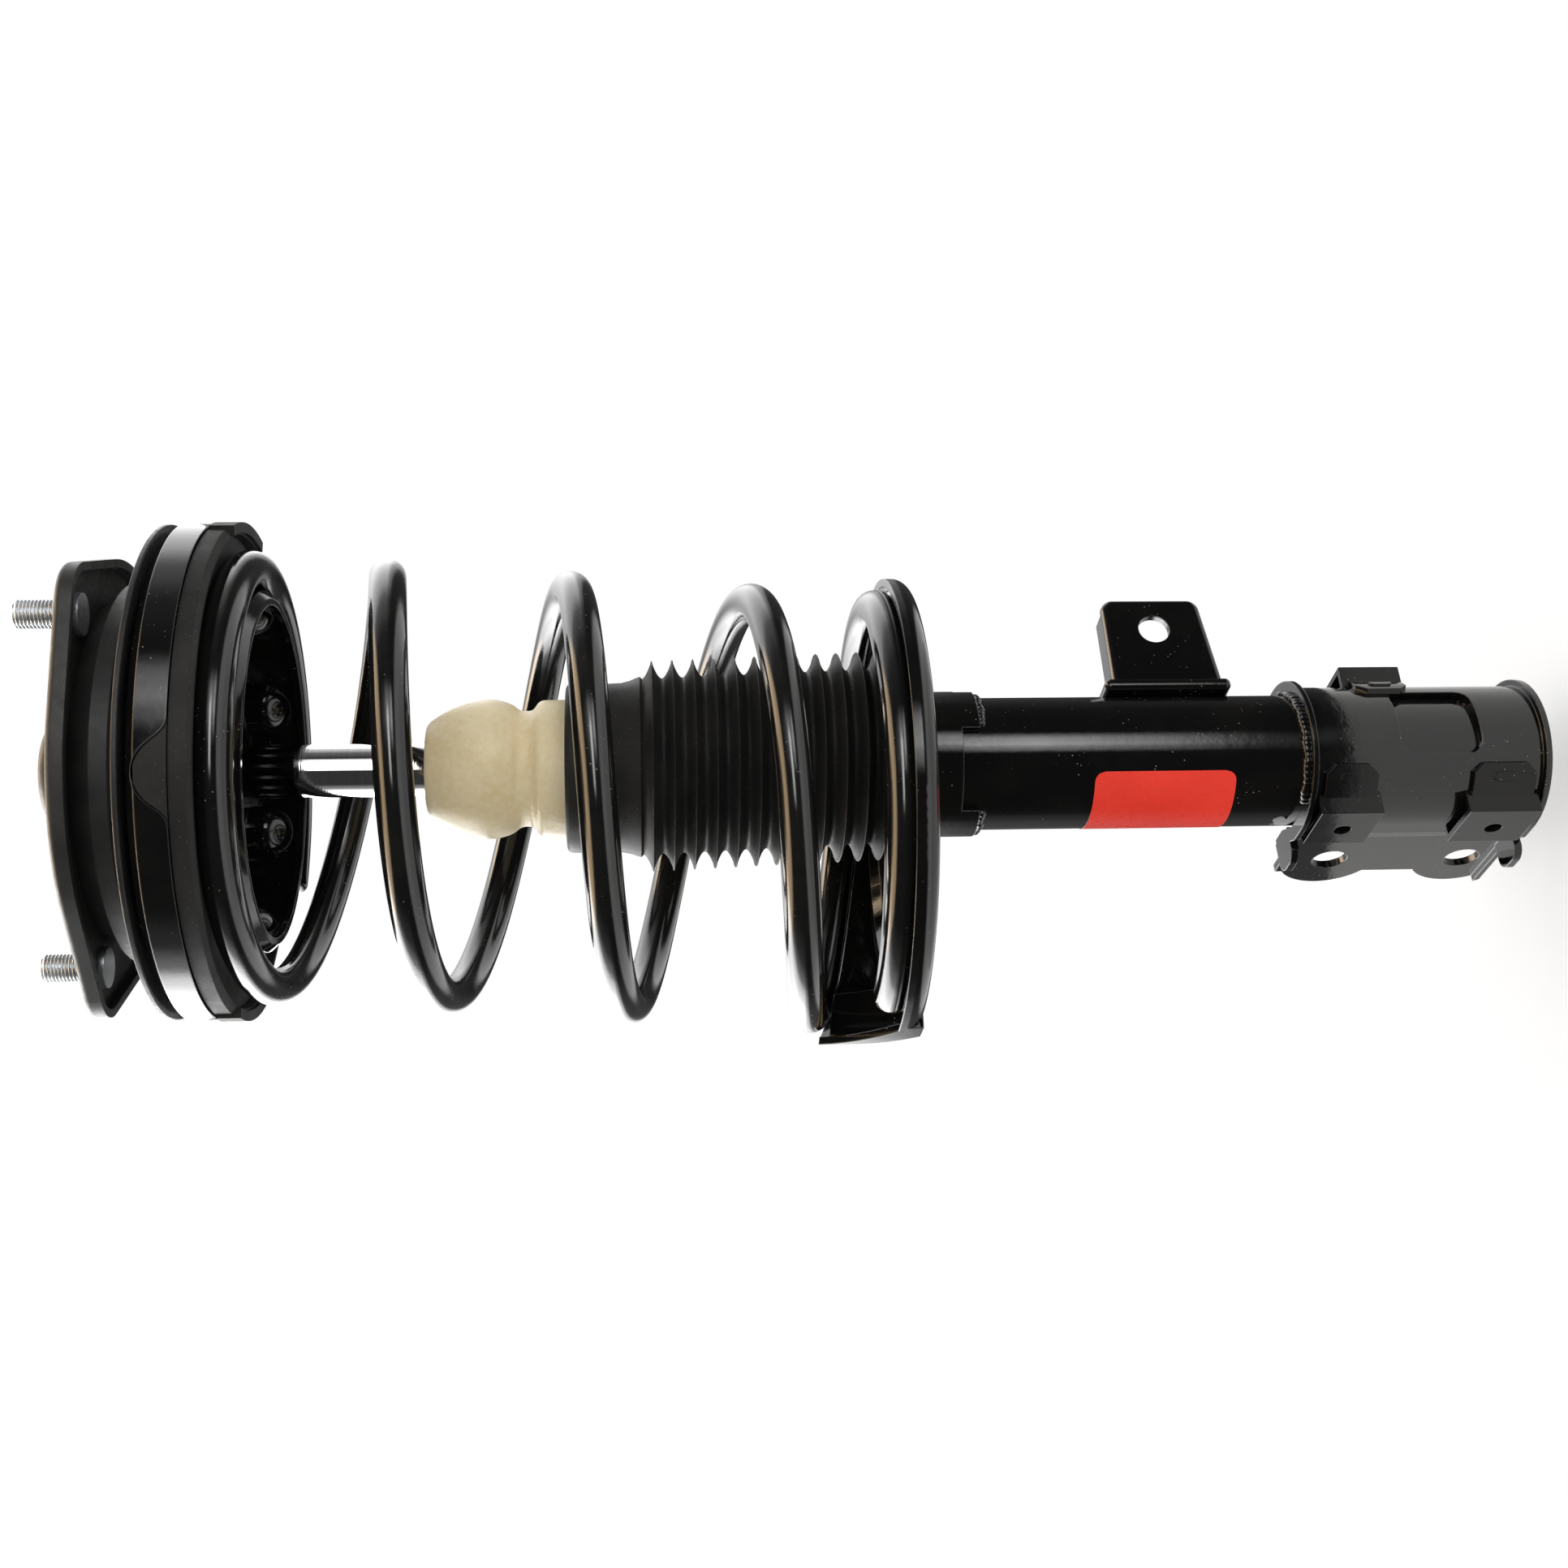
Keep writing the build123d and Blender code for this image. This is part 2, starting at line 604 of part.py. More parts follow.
def rod_seal():
    """Lipped oil seal under the cap."""
    inner = ROD_RADIUS + RUNNING_GAP
    outer = TUBE_RADIUS - TUBE_WALL
    corners = [
        (inner, TUBE_TOP - 0.1), (outer, TUBE_TOP - 0.1), (outer, TUBE_TOP - 3.4),
        (inner + 3, TUBE_TOP - 3.4), (inner + 1.5, TUBE_TOP - 1.8), (inner, TUBE_TOP - 3.0),
    ]
    return turned(corners)


def rod_guide():
    """Sintered guide that centres the pressure tube and carries the bushing."""
    flange = disc(TUBE_RADIUS - TUBE_WALL, PRESSURE_TOP, TUBE_TOP - 3.5)
    spigot = disc(PRESSURE_BORE, GUIDE_BOTTOM, PRESSURE_TOP)
    return flange + spigot - disc(ROD_RADIUS + 1.5, -300, -100)


def guide_bushing():
    return ring(ROD_RADIUS + RUNNING_GAP, ROD_RADIUS + 1.5, GUIDE_BOTTOM + 0.5, TUBE_TOP - 6)


def pressure_tube():
    return ring(PRESSURE_BORE, PRESSURE_RADIUS, PRESSURE_BOTTOM, PRESSURE_TOP)


def base_valve_body():
    """Foot valve that closes the pressure tube and stands on the base cup."""
    plug = disc(PRESSURE_BORE, PRESSURE_BOTTOM, PRESSURE_BOTTOM + 10)
    foot = disc(PRESSURE_RADIUS + 2.5, TUBE_BOTTOM + 4.5, PRESSURE_BOTTOM)
    valve = plug + foot
    valve -= disc(PRESSURE_BORE - 3, TUBE_BOTTOM, PRESSURE_BOTTOM - 3)
    port = Pos(9, 0, PRESSURE_BOTTOM) * Cylinder(1.6, 30)
    for hole in around(port, 6):
        valve -= hole
    return valve


def base_valve_disc():
    """Spring-steel disc over the foot valve's ports."""
    return disc(12.0, PRESSURE_BOTTOM + 10, PRESSURE_BOTTOM + 10.8)


def base_cup():
    """Pressed cup welded into the tube's lower end."""
    cup = disc(TUBE_RADIUS - TUBE_WALL, TUBE_BOTTOM, TUBE_BOTTOM + 4.5)
    return fillet(cup.edges().sort_by(Axis.Z)[0], 1.2)


# ---- soft parts ------------------------------------------------------------
def jounce_bumper():
    """Foam bumper with one waist, round the rod on top of the tube."""
    bore = ROD_RADIUS + BUMPER_BORE_GAP
    tip = (BUMPER_TIP_RADIUS, BUMPER_TOP)
    foot = (BUMPER_FOOT_RADIUS, TUBE_CAP_TOP + 0.05)
    inner_foot = (bore, TUBE_CAP_TOP + 0.05)
    inner_tip = (bore, BUMPER_TOP)
    outline = Spline(tip, (24.6, -133.0), (26.2, -142.0), (BUMPER_WAIST_RADIUS, -154.5), (25.8, -163.0),
                     (24.5, -178.0), foot)
    edges = [outline, Line(foot, inner_foot), Line(inner_foot, inner_tip), Line(inner_tip, tip)]
    return revolve(Plane.XZ * make_face(edges), Axis.Z)


def dust_boot():
    """Bellows sleeve from the bumper down to the lower spring seat."""
    neck = BOOT_NECK_RADIUS
    fold = BOOT_WALL * 1.4
    outer = [(neck, BOOT_TOP), (neck, BOOT_NECK_END), (neck + 2.5, BOOT_NECK_END - 4.5)]
    inner = [(BOOT_MOUTH_RADIUS, BOOT_TOP), (BOOT_MOUTH_RADIUS, BOOT_TOP - 3)]
    inner += [(neck - BOOT_WALL, BOOT_TOP - 4), (neck - BOOT_WALL, BOOT_NECK_END)]
    inner.append((neck + 0.7, BOOT_NECK_END - 5.2))
    for rib in range(BOOT_RIB_COUNT):
        height = BOOT_FIRST_RIB - BOOT_RIB_PITCH * rib
        valley = height - BOOT_RIB_PITCH / 2
        outer += [(BOOT_RIB_RADIUS, height), (BOOT_GROOVE_RADIUS, valley)]
        inner += [(BOOT_RIB_RADIUS - fold, height), (BOOT_GROOVE_RADIUS - fold, valley)]
    outer.append((BOOT_GROOVE_RADIUS, BOOT_END))
    inner.append((BOOT_GROOVE_RADIUS - fold, BOOT_END))
    return turned(outer + inner[::-1])


# ---- lower spring seat -----------------------------------------------------
def perch_centre():
    return LEAN_BOTTOM_SHIFT * direction(LEAN_DIRECTION)


def perch_arc(inner, outer, first, last):
    """Tall sector over the perch between two directions."""
    middle = (first + last) / 2
    half = (first - last) / 2
    return sector(inner, outer, PERCH_FACE - PERCH_SHEET, TAIL_CREST + 20, middle, half)


def under_tail(offset):
    """Space under the tail's two slopes: the long one below the coil, the steep one at its end."""
    crest = COIL_RADIUS * direction(TAIL_CREST_DIRECTION) + Vector(0, 0, TAIL_CREST)
    foot = COIL_RADIUS * direction(TAIL_FOOT_DIRECTION) + Vector(0, 0, PERCH_FACE)
    uphill = TAIL_SLOPE * direction(TAIL_SLOPE_DIRECTION)
    outward = direction((TAIL_CREST_DIRECTION + TAIL_FOOT_DIRECTION) / 2)
    long_slope = Plane(origin=crest, z_dir=Vector(-uphill.X, -uphill.Y, 1))
    steep_slope = Plane(origin=crest, x_dir=outward, z_dir=outward.cross(foot - crest))
    if steep_slope.z_dir.Z < 0:
        steep_slope = Plane(origin=crest, x_dir=outward, z_dir=-steep_slope.z_dir)
    below = Box(400, 400, 120, align=(Align.CENTER, Align.CENTER, Align.MAX))
    return (long_slope.offset(offset) * below) & (steep_slope.offset(offset) * below)


def perch_tail():
    """Raised part of the seat: a sheet ramp that follows the coil up, with a lip and a skirt."""
    inner = PERCH_TAIL_INNER
    sheet = PERCH_SHEET
    first = TAIL_FOOT_DIRECTION
    last = TAIL_END_DIRECTION
    whole = perch_arc(inner, PERCH_RADIUS, first + 2, last)
    inner_wall = perch_arc(inner, inner + sheet, first, last)
    edge = perch_arc(PERCH_RADIUS - sheet, PERCH_RADIUS, first, last)
    root = perch_arc(inner, PERCH_RADIUS, TAIL_OPEN_DIRECTION + 2, last)
    tail = whole & (under_tail(0) - under_tail(-sheet))
    tail += inner_wall & under_tail(0)
    tail += edge & (under_tail(TAIL_LIP) - under_tail(-TAIL_SKIRT))
    tail += root & under_tail(0)
    return tail


def perch_dish():
    """Round part of the seat: flat land, raised inner bead, rounded edge, lip and four windows."""
    under = PERCH_FACE - PERCH_SHEET
    wall = PERCH_RADIUS - PERCH_SHEET
    bead_top = PERCH_FACE + 3.5
    corners = [
        (0, PERCH_FACE), (PERCH_INNER_RADIUS - 3, PERCH_FACE), (PERCH_INNER_RADIUS, bead_top),
        (PERCH_INNER_RADIUS + 2.2, bead_top), (PERCH_TAIL_INNER, PERCH_FACE), (wall, PERCH_FACE),
        (wall, PERCH_LIP_TOP), (PERCH_RADIUS, PERCH_LIP_TOP), (PERCH_RADIUS, under), (0, under),
    ]
    section = make_face(Polyline(*corners, close=True))
    outside = section.vertices().sort_by_distance((PERCH_RADIUS, under, 0))[:1]
    section = fillet(outside, PERCH_CORNER)
    inside = section.vertices().sort_by_distance((wall, PERCH_FACE, 0))[:1]
    section = fillet(inside, PERCH_CORNER - PERCH_SHEET)
    dish = revolve(Plane.XZ * section, Axis.Z)
    for spoke in range(PERCH_WINDOW_COUNT):
        middle = LEAN_DIRECTION + 45 + 360.0 / PERCH_WINDOW_COUNT * spoke
        window = sector(PERCH_WINDOW_INNER, PERCH_INNER_RADIUS - 6, PERCH_FACE - 8, PERCH_FACE + 5, middle,
                        PERCH_WINDOW_HALF_ANGLE)
        dish -= fillet(window.edges().filter_by(Axis.Z), 4)
    return dish


def spring_perch():
    """Pressed dish with a raised tail, offset toward the spring's lean."""
    dish = perch_dish()
    wall = PERCH_TAIL_INNER + PERCH_SHEET
    opening = perch_arc(wall, PERCH_RADIUS + 1, TAIL_FOOT_DIRECTION, TAIL_OPEN_DIRECTION)
    dish -= opening & under_tail(-PERCH_SHEET / 2)
    dish += perch_tail()
    dish = Pos(perch_centre()) * dish
    dish -= round_sweep(coil_path(COIL_NEAR_TAIL_START, COIL_NEAR_TAIL_END), WIRE_RADIUS + COIL_CLEARANCE)
    return dish - disc(TUBE_RADIUS, -400, -200)


def perch_collar():
    """Sleeve under the perch, with tabs down the tube for its welds."""
    top = PERCH_FACE - PERCH_SHEET
    collar = ring(TUBE_RADIUS, COLLAR_RADIUS, COLLAR_TAB_BOTTOM, top)
    between = 180.0 / COLLAR_TAB_COUNT
    gap = sector(TUBE_RADIUS - 2, COLLAR_RADIUS + 2, COLLAR_TAB_BOTTOM - 1, COLLAR_BOTTOM,
                 COLLAR_TAB_DIRECTION + between, between - COLLAR_TAB_HALF_ANGLE)
    for copy in around(gap, COLLAR_TAB_COUNT):
        collar -= copy
    return collar


def lower_isolator():
    """Thin rubber pad between the bottom coil and the perch, left open where the tail rises."""
    top = -(COIL_BOTTOM_DROP + WIRE_RADIUS) - 0.1
    inner = PERCH_INNER_RADIUS + 3.8
    outer = PERCH_RADIUS - PERCH_SHEET - PERCH_CORNER + 1.9
    middle = (TAIL_FOOT_DIRECTION + TAIL_END_DIRECTION) / 2
    half = (TAIL_FOOT_DIRECTION - TAIL_END_DIRECTION) / 2 + 4
    pad = ring(inner, outer, PERCH_FACE, top)
    pad -= sector(inner - 2, outer + 2, PERCH_FACE - 1, top + 1, middle, half)
    return Pos(perch_centre()) * pad


# ---- brackets on the tube --------------------------------------------------
def link_bracket():
    """Channel-shaped arm for the anti-roll bar link, hole along X."""
    root = -TUBE_RADIUS + 4
    corners = [
        (root, LINK_TOP_Z), (-LINK_REACH, LINK_TOP_Z), (-LINK_REACH, LINK_TIP_Z),
        (root - 6, LINK_FOOT_Z + 1), (root, LINK_FOOT_Z),
    ]
    outline = make_face(Polyline(*corners, close=True))
    outline = fillet(outline.vertices().sort_by(Axis.X)[:2], 5)
    blank = Pos(LINK_PLATE_X, 0, 0) * extrude(Plane.YZ * outline, LINK_FLANGE)
    blank = fillet(blank.faces().sort_by(Axis.X)[0].edges(), LINK_FOLD)
    inside = LINK_PLATE_X + LINK_SHEET
    blank -= Pos(inside, 0, 0) * extrude(Plane.YZ * offset(outline, -LINK_SHEET), LINK_FLANGE)
    end_cut = Box(LINK_FLANGE, 9, 60, align=(Align.MIN, Align.MIN, Align.MIN))
    blank -= Pos(inside, -LINK_REACH - 3, LINK_FOOT_Z) * end_cut
    foot = fillet(Box(LINK_FLANGE + 9, LINK_WELD_HEIGHT, LINK_WELD_LENGTH).edges(), LINK_WELD_ROUND)
    blank += Pos(LINK_PLATE_X + LINK_SHEET / 2, -TUBE_RADIUS + 0.5, LINK_WELD_Z) * foot
    blank -= disc(TUBE_RADIUS, -500, -300)
    hole = Pos(LINK_PLATE_X, LINK_HOLE_Y, LINK_HOLE_Z) * Rot(0, 90, 0) * Cylinder(LINK_HOLE_RADIUS, 12)
    return blank - hole


def cheek_plan(wide, narrow, start, end, reach):
    """Plan of the space between two walls that step in towards each other."""
    half = [(0, wide), (start, wide), (end, narrow), (reach, narrow)]
    return make_face(Polyline(*half, *[(x, -y) for x, y in reversed(half)], close=True))


def clamp_section(grow):
    """Plan of the knuckle bracket: half a ring round the tube and two cheeks set closer together."""
    reach = BOLT_X + EAR_RADIUS + 4
    start = CHEEK_STEP_START_X
    end = CHEEK_STEP_END_X
    slant = 0.2 * CLAMP_SHEET
    outer = Circle(CLAMP_RADIUS + grow)
    outer += cheek_plan(CLAMP_RADIUS + grow, CHEEK_Y + grow, start, end, reach)
    inner = Circle(TUBE_RADIUS)
    inner += cheek_plan(TUBE_RADIUS, CHEEK_Y - CLAMP_SHEET, start - slant, end - slant, reach + 1)
    return outer - inner


def cheek_outline():
    """Side view of the bracket: a full-height wrap, then cheeks with two round ears and a valley."""
    height = CLAMP_TOP - CLAMP_BOTTOM
    middle = (CLAMP_TOP + CLAMP_BOTTOM) / 2
    wrap_width = CLAMP_RADIUS + CLAMP_LIP + WRAP_END_X
    wrap = Pos(WRAP_END_X - wrap_width / 2, middle) * Rectangle(wrap_width, height)
    ear_top = BOLT_UPPER_Z + EAR_RADIUS
    plate_height = ear_top - CLAMP_BOTTOM
    plate = Pos(CHEEK_VALLEY_X / 2, ear_top - plate_height / 2) * Rectangle(CHEEK_VALLEY_X, plate_height)
    ears = Pos(BOLT_X, BOLT_UPPER_Z) * Circle(EAR_RADIUS) + Pos(BOLT_X, BOLT_LOWER_Z) * Circle(EAR_RADIUS)
    limit = Pos(BOLT_X, middle) * Rectangle(200, height)
    return (wrap + plate + ears) & limit


def on_wrap(outline, middle_direction, middle_height, inner, outer):
    """Outline laid on the round part of the bracket, as a piece between two radii."""
    facing = Rot(0, 0, middle_direction) * Pos(0, 0, middle_height) * Rot(0, 90, 0)
    block = facing * extrude(outline, outer + 5)
    return block & ring(inner, outer, CLAMP_BOTTOM, CLAMP_TOP)


def wrap_window():
    """Rounded window through the back of the bracket, which shows the tube."""
    panel = RectangleRounded(WINDOW_TOP - WINDOW_BOTTOM, WINDOW_WIDTH, 5)
    middle = (WINDOW_TOP + WINDOW_BOTTOM) / 2
    return on_wrap(panel, WINDOW_DIRECTION, middle, TUBE_RADIUS - 2, CLAMP_RADIUS + CLAMP_LIP)


def end_flanges(low):
    """Rounded flanges turned outwards from both cheeks at one end of the bracket."""
    plan = Pos(FLANGE_X, 0) * RectangleRounded(FLANGE_WIDTH, 2 * FLANGE_Y, 5)
    plan -= Pos(FLANGE_X, 0) * Rectangle(FLANGE_WIDTH + 2, 2 * CHEEK_Y - CLAMP_SHEET)
    return Pos(0, 0, low) * extrude(plan, CLAMP_SHEET)


def knuckle_bracket():
    """Folded bracket round the tube whose cheeks grip the knuckle with two bolts."""
    body = Pos(0, 0, CLAMP_BOTTOM) * extrude(clamp_section(0), CLAMP_TOP - CLAMP_BOTTOM)
    lip = extrude(clamp_section(CLAMP_LIP), CLAMP_LIP_HEIGHT)
    ends = Pos(0, 0, CLAMP_TOP - CLAMP_LIP_HEIGHT) * lip + Pos(0, 0, CLAMP_BOTTOM) * lip
    outline = extrude(Plane.XZ * cheek_outline(), 60, both=True)
    bracket = (body + ends) & outline
    bracket += end_flanges(CLAMP_TOP - CLAMP_SHEET)
    bracket += end_flanges(CLAMP_BOTTOM)
    for height in (BOLT_UPPER_Z, BOLT_LOWER_Z):
        bracket -= Pos(BOLT_X, 0, height) * Rot(90, 0, 0) * Cylinder(BOLT_HOLE_RADIUS, 120)
    return bracket - wrap_window()


def hose_bracket(top, bottom):
    """Folded box on the bracket's cheek, open at its ends, with a ribbed tab and one small bolt hole."""
    middle = (top + bottom) / 2
    sheet = HOSE_SHEET
    face = (Align.MIN, Align.MAX)
    front_wall = Rectangle(sheet, HOSE_OUTER_Y - CLAMP_RADIUS, align=face)
    back_wall = Rectangle(sheet, HOSE_OUTER_Y - HOSE_BACK_FOOT_Y, align=face)
    shape = Pos(HOSE_BACK_X, HOSE_OUTER_Y) * Rectangle(HOSE_FRONT_X - HOSE_BACK_X, sheet, align=face)
    shape += Pos(HOSE_BACK_X, HOSE_OUTER_Y) * back_wall
    shape += Pos(HOSE_FRONT_X - sheet, HOSE_OUTER_Y) * front_wall
    walls = Pos(0, 0, bottom) * extrude(shape, top - bottom)
    tab = Rectangle(top - bottom - 4, HOSE_TAB_WIDTH)
    tab = chamfer(tab.vertices().sort_by(Axis.Y)[-2:], HOSE_TAB_CORNER)
    walls += on_wrap(tab, HOSE_TAB_MIDDLE, middle, CLAMP_RADIUS - 1, CLAMP_RADIUS + sheet)
    rib = Pos(0, 1.5) * SlotOverall(9.0, 3.6)
    walls += on_wrap(rib, HOSE_TAB_MIDDLE, middle, CLAMP_RADIUS + sheet - 0.2, CLAMP_RADIUS + sheet + 0.7)
    walls -= disc(CLAMP_RADIUS, -600, -400)
    hole = Rot(90, 0, 0) * Cylinder(HOSE_HOLE_RADIUS, 2 * sheet + 2)
    return walls - Pos(HOSE_HOLE_X, HOSE_OUTER_Y, middle) * hole


def upper_hose_bracket():
    return hose_bracket(-451.0, -475.0)


def lower_hose_bracket():
    return hose_bracket(-508.5, -536.5)


def wire_clip():
    """The same folded box, smaller, on the other cheek for the sensor wire."""
    return mirror(hose_bracket(-470.0, -494.0), Plane.XZ)


# ---- welds and label -------------------------------------------------------
def perch_weld():
    """Fillet weld between the collar's tabs and the tube."""
    bead = sector(TUBE_RADIUS, COLLAR_RADIUS - 0.2, COLLAR_TAB_BOTTOM - 3, COLLAR_TAB_BOTTOM,
                  COLLAR_TAB_DIRECTION, COLLAR_TAB_HALF_ANGLE - 2)
    return Compound(children=around(bead, COLLAR_TAB_COUNT))


def knuckle_weld():
    """Weld round the tube's end under the knuckle bracket."""
    return sector(TUBE_RADIUS, CLAMP_RADIUS - 0.2, CLAMP_TOP, CLAMP_TOP + 3, 180.0, 70.0)


def tube_label():
    """Blank sticker round one side of the tube."""
    half = LABEL_SWEEP / 2
    outer = TUBE_RADIUS + LABEL_THICKNESS
    return sector(TUBE_RADIUS, outer, LABEL_BOTTOM, LABEL_TOP, LABEL_START + half, half)


PARTS = {
    "mount_plate": mount_plate,
    "mount_studs": mount_studs,
    "mount_lower_shell": mount_lower_shell,
    "mount_rubber": mount_rubber,
    "mount_inner_sleeve": mount_inner_sleeve,
    "rod_washer": rod_washer,
    "rod_nut": rod_nut,
    "dust_cap": dust_cap,
    "bump_cup": bump_cup,
    "bearing_upper_race": bearing_upper_race,
    "bearing_lower_race": bearing_lower_race,
    "bearing_cage": bearing_cage,
    "bearing_balls": bearing_balls,
    "dust_shield": dust_shield,
    "upper_spring_seat": upper_spring_seat,
    "seat_hub": seat_hub,
    "upper_isolator": upper_isolator,
    "coil_spring": coil_spring,
    "piston_rod": piston_rod,
    "rebound_cushion": rebound_cushion,
    "rebound_stop": rebound_stop,
    "piston": piston,
    "piston_band": piston_band,
    "valve_shims": valve_shims,
    "piston_nut": piston_nut,
    "reserve_tube": reserve_tube,
    "tube_cap": tube_cap,
    "rod_seal": rod_seal,
    "rod_guide": rod_guide,
    "guide_bushing": guide_bushing,
    "pressure_tube": pressure_tube,
    "base_valve_body": base_valve_body,
    "base_valve_disc": base_valve_disc,
    "base_cup": base_cup,
    "jounce_bumper": jounce_bumper,
    "dust_boot": dust_boot,
    "spring_perch": spring_perch,
    "perch_collar": perch_collar,
    "lower_isolator": lower_isolator,
    "link_bracket": link_bracket,
    "knuckle_bracket": knuckle_bracket,
    "upper_hose_bracket": upper_hose_bracket,
    "lower_hose_bracket": lower_hose_bracket,
    "wire_clip": wire_clip,
    "perch_weld": perch_weld,
    "knuckle_weld": knuckle_weld,
    "tube_label": tube_label,
}

os.makedirs("parts", exist_ok=True)
for name, make in PARTS.items():
    export_step(make(), f"parts/{name}.step")
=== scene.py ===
import json
import math

import bpy
import numpy as np
from mathutils import Matrix, Vector


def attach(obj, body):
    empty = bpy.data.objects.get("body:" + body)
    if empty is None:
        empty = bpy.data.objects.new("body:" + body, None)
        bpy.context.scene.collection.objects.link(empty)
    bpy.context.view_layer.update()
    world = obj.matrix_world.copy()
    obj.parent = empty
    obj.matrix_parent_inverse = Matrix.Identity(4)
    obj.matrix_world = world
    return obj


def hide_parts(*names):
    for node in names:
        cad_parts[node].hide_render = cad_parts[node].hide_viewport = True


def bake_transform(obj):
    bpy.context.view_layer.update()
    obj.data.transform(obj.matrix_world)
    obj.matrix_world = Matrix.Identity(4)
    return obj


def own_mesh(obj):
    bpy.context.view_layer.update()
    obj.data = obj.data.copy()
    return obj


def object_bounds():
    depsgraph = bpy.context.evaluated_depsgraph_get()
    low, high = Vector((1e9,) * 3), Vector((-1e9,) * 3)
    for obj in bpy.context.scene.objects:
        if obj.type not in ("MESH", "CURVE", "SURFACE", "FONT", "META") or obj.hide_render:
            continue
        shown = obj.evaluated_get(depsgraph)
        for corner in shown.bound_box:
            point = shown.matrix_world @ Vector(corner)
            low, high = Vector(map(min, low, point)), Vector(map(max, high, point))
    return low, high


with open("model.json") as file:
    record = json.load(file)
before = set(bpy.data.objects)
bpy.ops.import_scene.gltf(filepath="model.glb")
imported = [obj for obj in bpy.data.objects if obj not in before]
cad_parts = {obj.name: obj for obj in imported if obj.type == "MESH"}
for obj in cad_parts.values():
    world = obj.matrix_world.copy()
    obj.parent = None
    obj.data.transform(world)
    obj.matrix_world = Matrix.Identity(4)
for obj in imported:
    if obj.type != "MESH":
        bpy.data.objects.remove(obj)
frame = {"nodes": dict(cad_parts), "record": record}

# Looks of the front suspension strut. Metres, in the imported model's frame: the strut stands
# along +Z, +X points to the knuckle and directions round the strut are degrees from +X.
CAD_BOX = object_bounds()
MM = 0.001


def direction(angle, radius=1.0, height=0.0):
    """Point at a direction round the strut axis."""
    turn = math.radians(angle)
    return Vector((radius * math.cos(turn), radius * math.sin(turn), height))


# ---- camera ----------------------------------------------------------------
VIEW_DIRECTION = 150.0
VIEW_DISTANCE = 0.711
VIEW_HEIGHT = -0.194
VIEW_YAW = math.radians(4.6)
VIEW_PITCH = math.radians(-0.55)
VIEW_ROLL = math.radians(-0.62)
SENSOR_WIDTH = 36.0
LENS = 42.86


def add_camera():
    """Camera beside the strut, turned so that the strut lies across the picture, mount to the left."""
    data = bpy.data.cameras.new("camera")
    data.sensor_width = SENSOR_WIDTH
    data.lens = LENS
    camera = bpy.data.objects.new("camera", data)
    bpy.context.scene.collection.objects.link(camera)
    away = direction(VIEW_DIRECTION + 180)
    up = direction(VIEW_DIRECTION + 90)
    right = Vector((0, 0, -1))
    forward = right * math.sin(VIEW_YAW) + away * math.cos(VIEW_YAW)
    right = right * math.cos(VIEW_YAW) - away * math.sin(VIEW_YAW)
    pitched_up = up * math.cos(VIEW_PITCH) - forward * math.sin(VIEW_PITCH)
    forward = up * math.sin(VIEW_PITCH) + forward * math.cos(VIEW_PITCH)
    rolled_right = right * math.cos(VIEW_ROLL) + pitched_up * math.sin(VIEW_ROLL)
    rolled_up = pitched_up * math.cos(VIEW_ROLL) - right * math.sin(VIEW_ROLL)
    place = Matrix((rolled_right, rolled_up, -forward)).transposed().to_4x4()
    place.translation = direction(VIEW_DIRECTION, VIEW_DISTANCE, VIEW_HEIGHT)
    camera.matrix_world = place
    bpy.context.scene.camera = camera


# ---- studio ----------------------------------------------------------------
BRIGHTEST = 10.0
DIMMEST = 0.002
FILL_STRENGTH = 1.12
WHITE = (1.0, 1.0, 1.0)
FILL_COLOUR = (1.0, 0.99, 0.97)
WARM_COLOUR = (1.0, 0.72, 0.42)


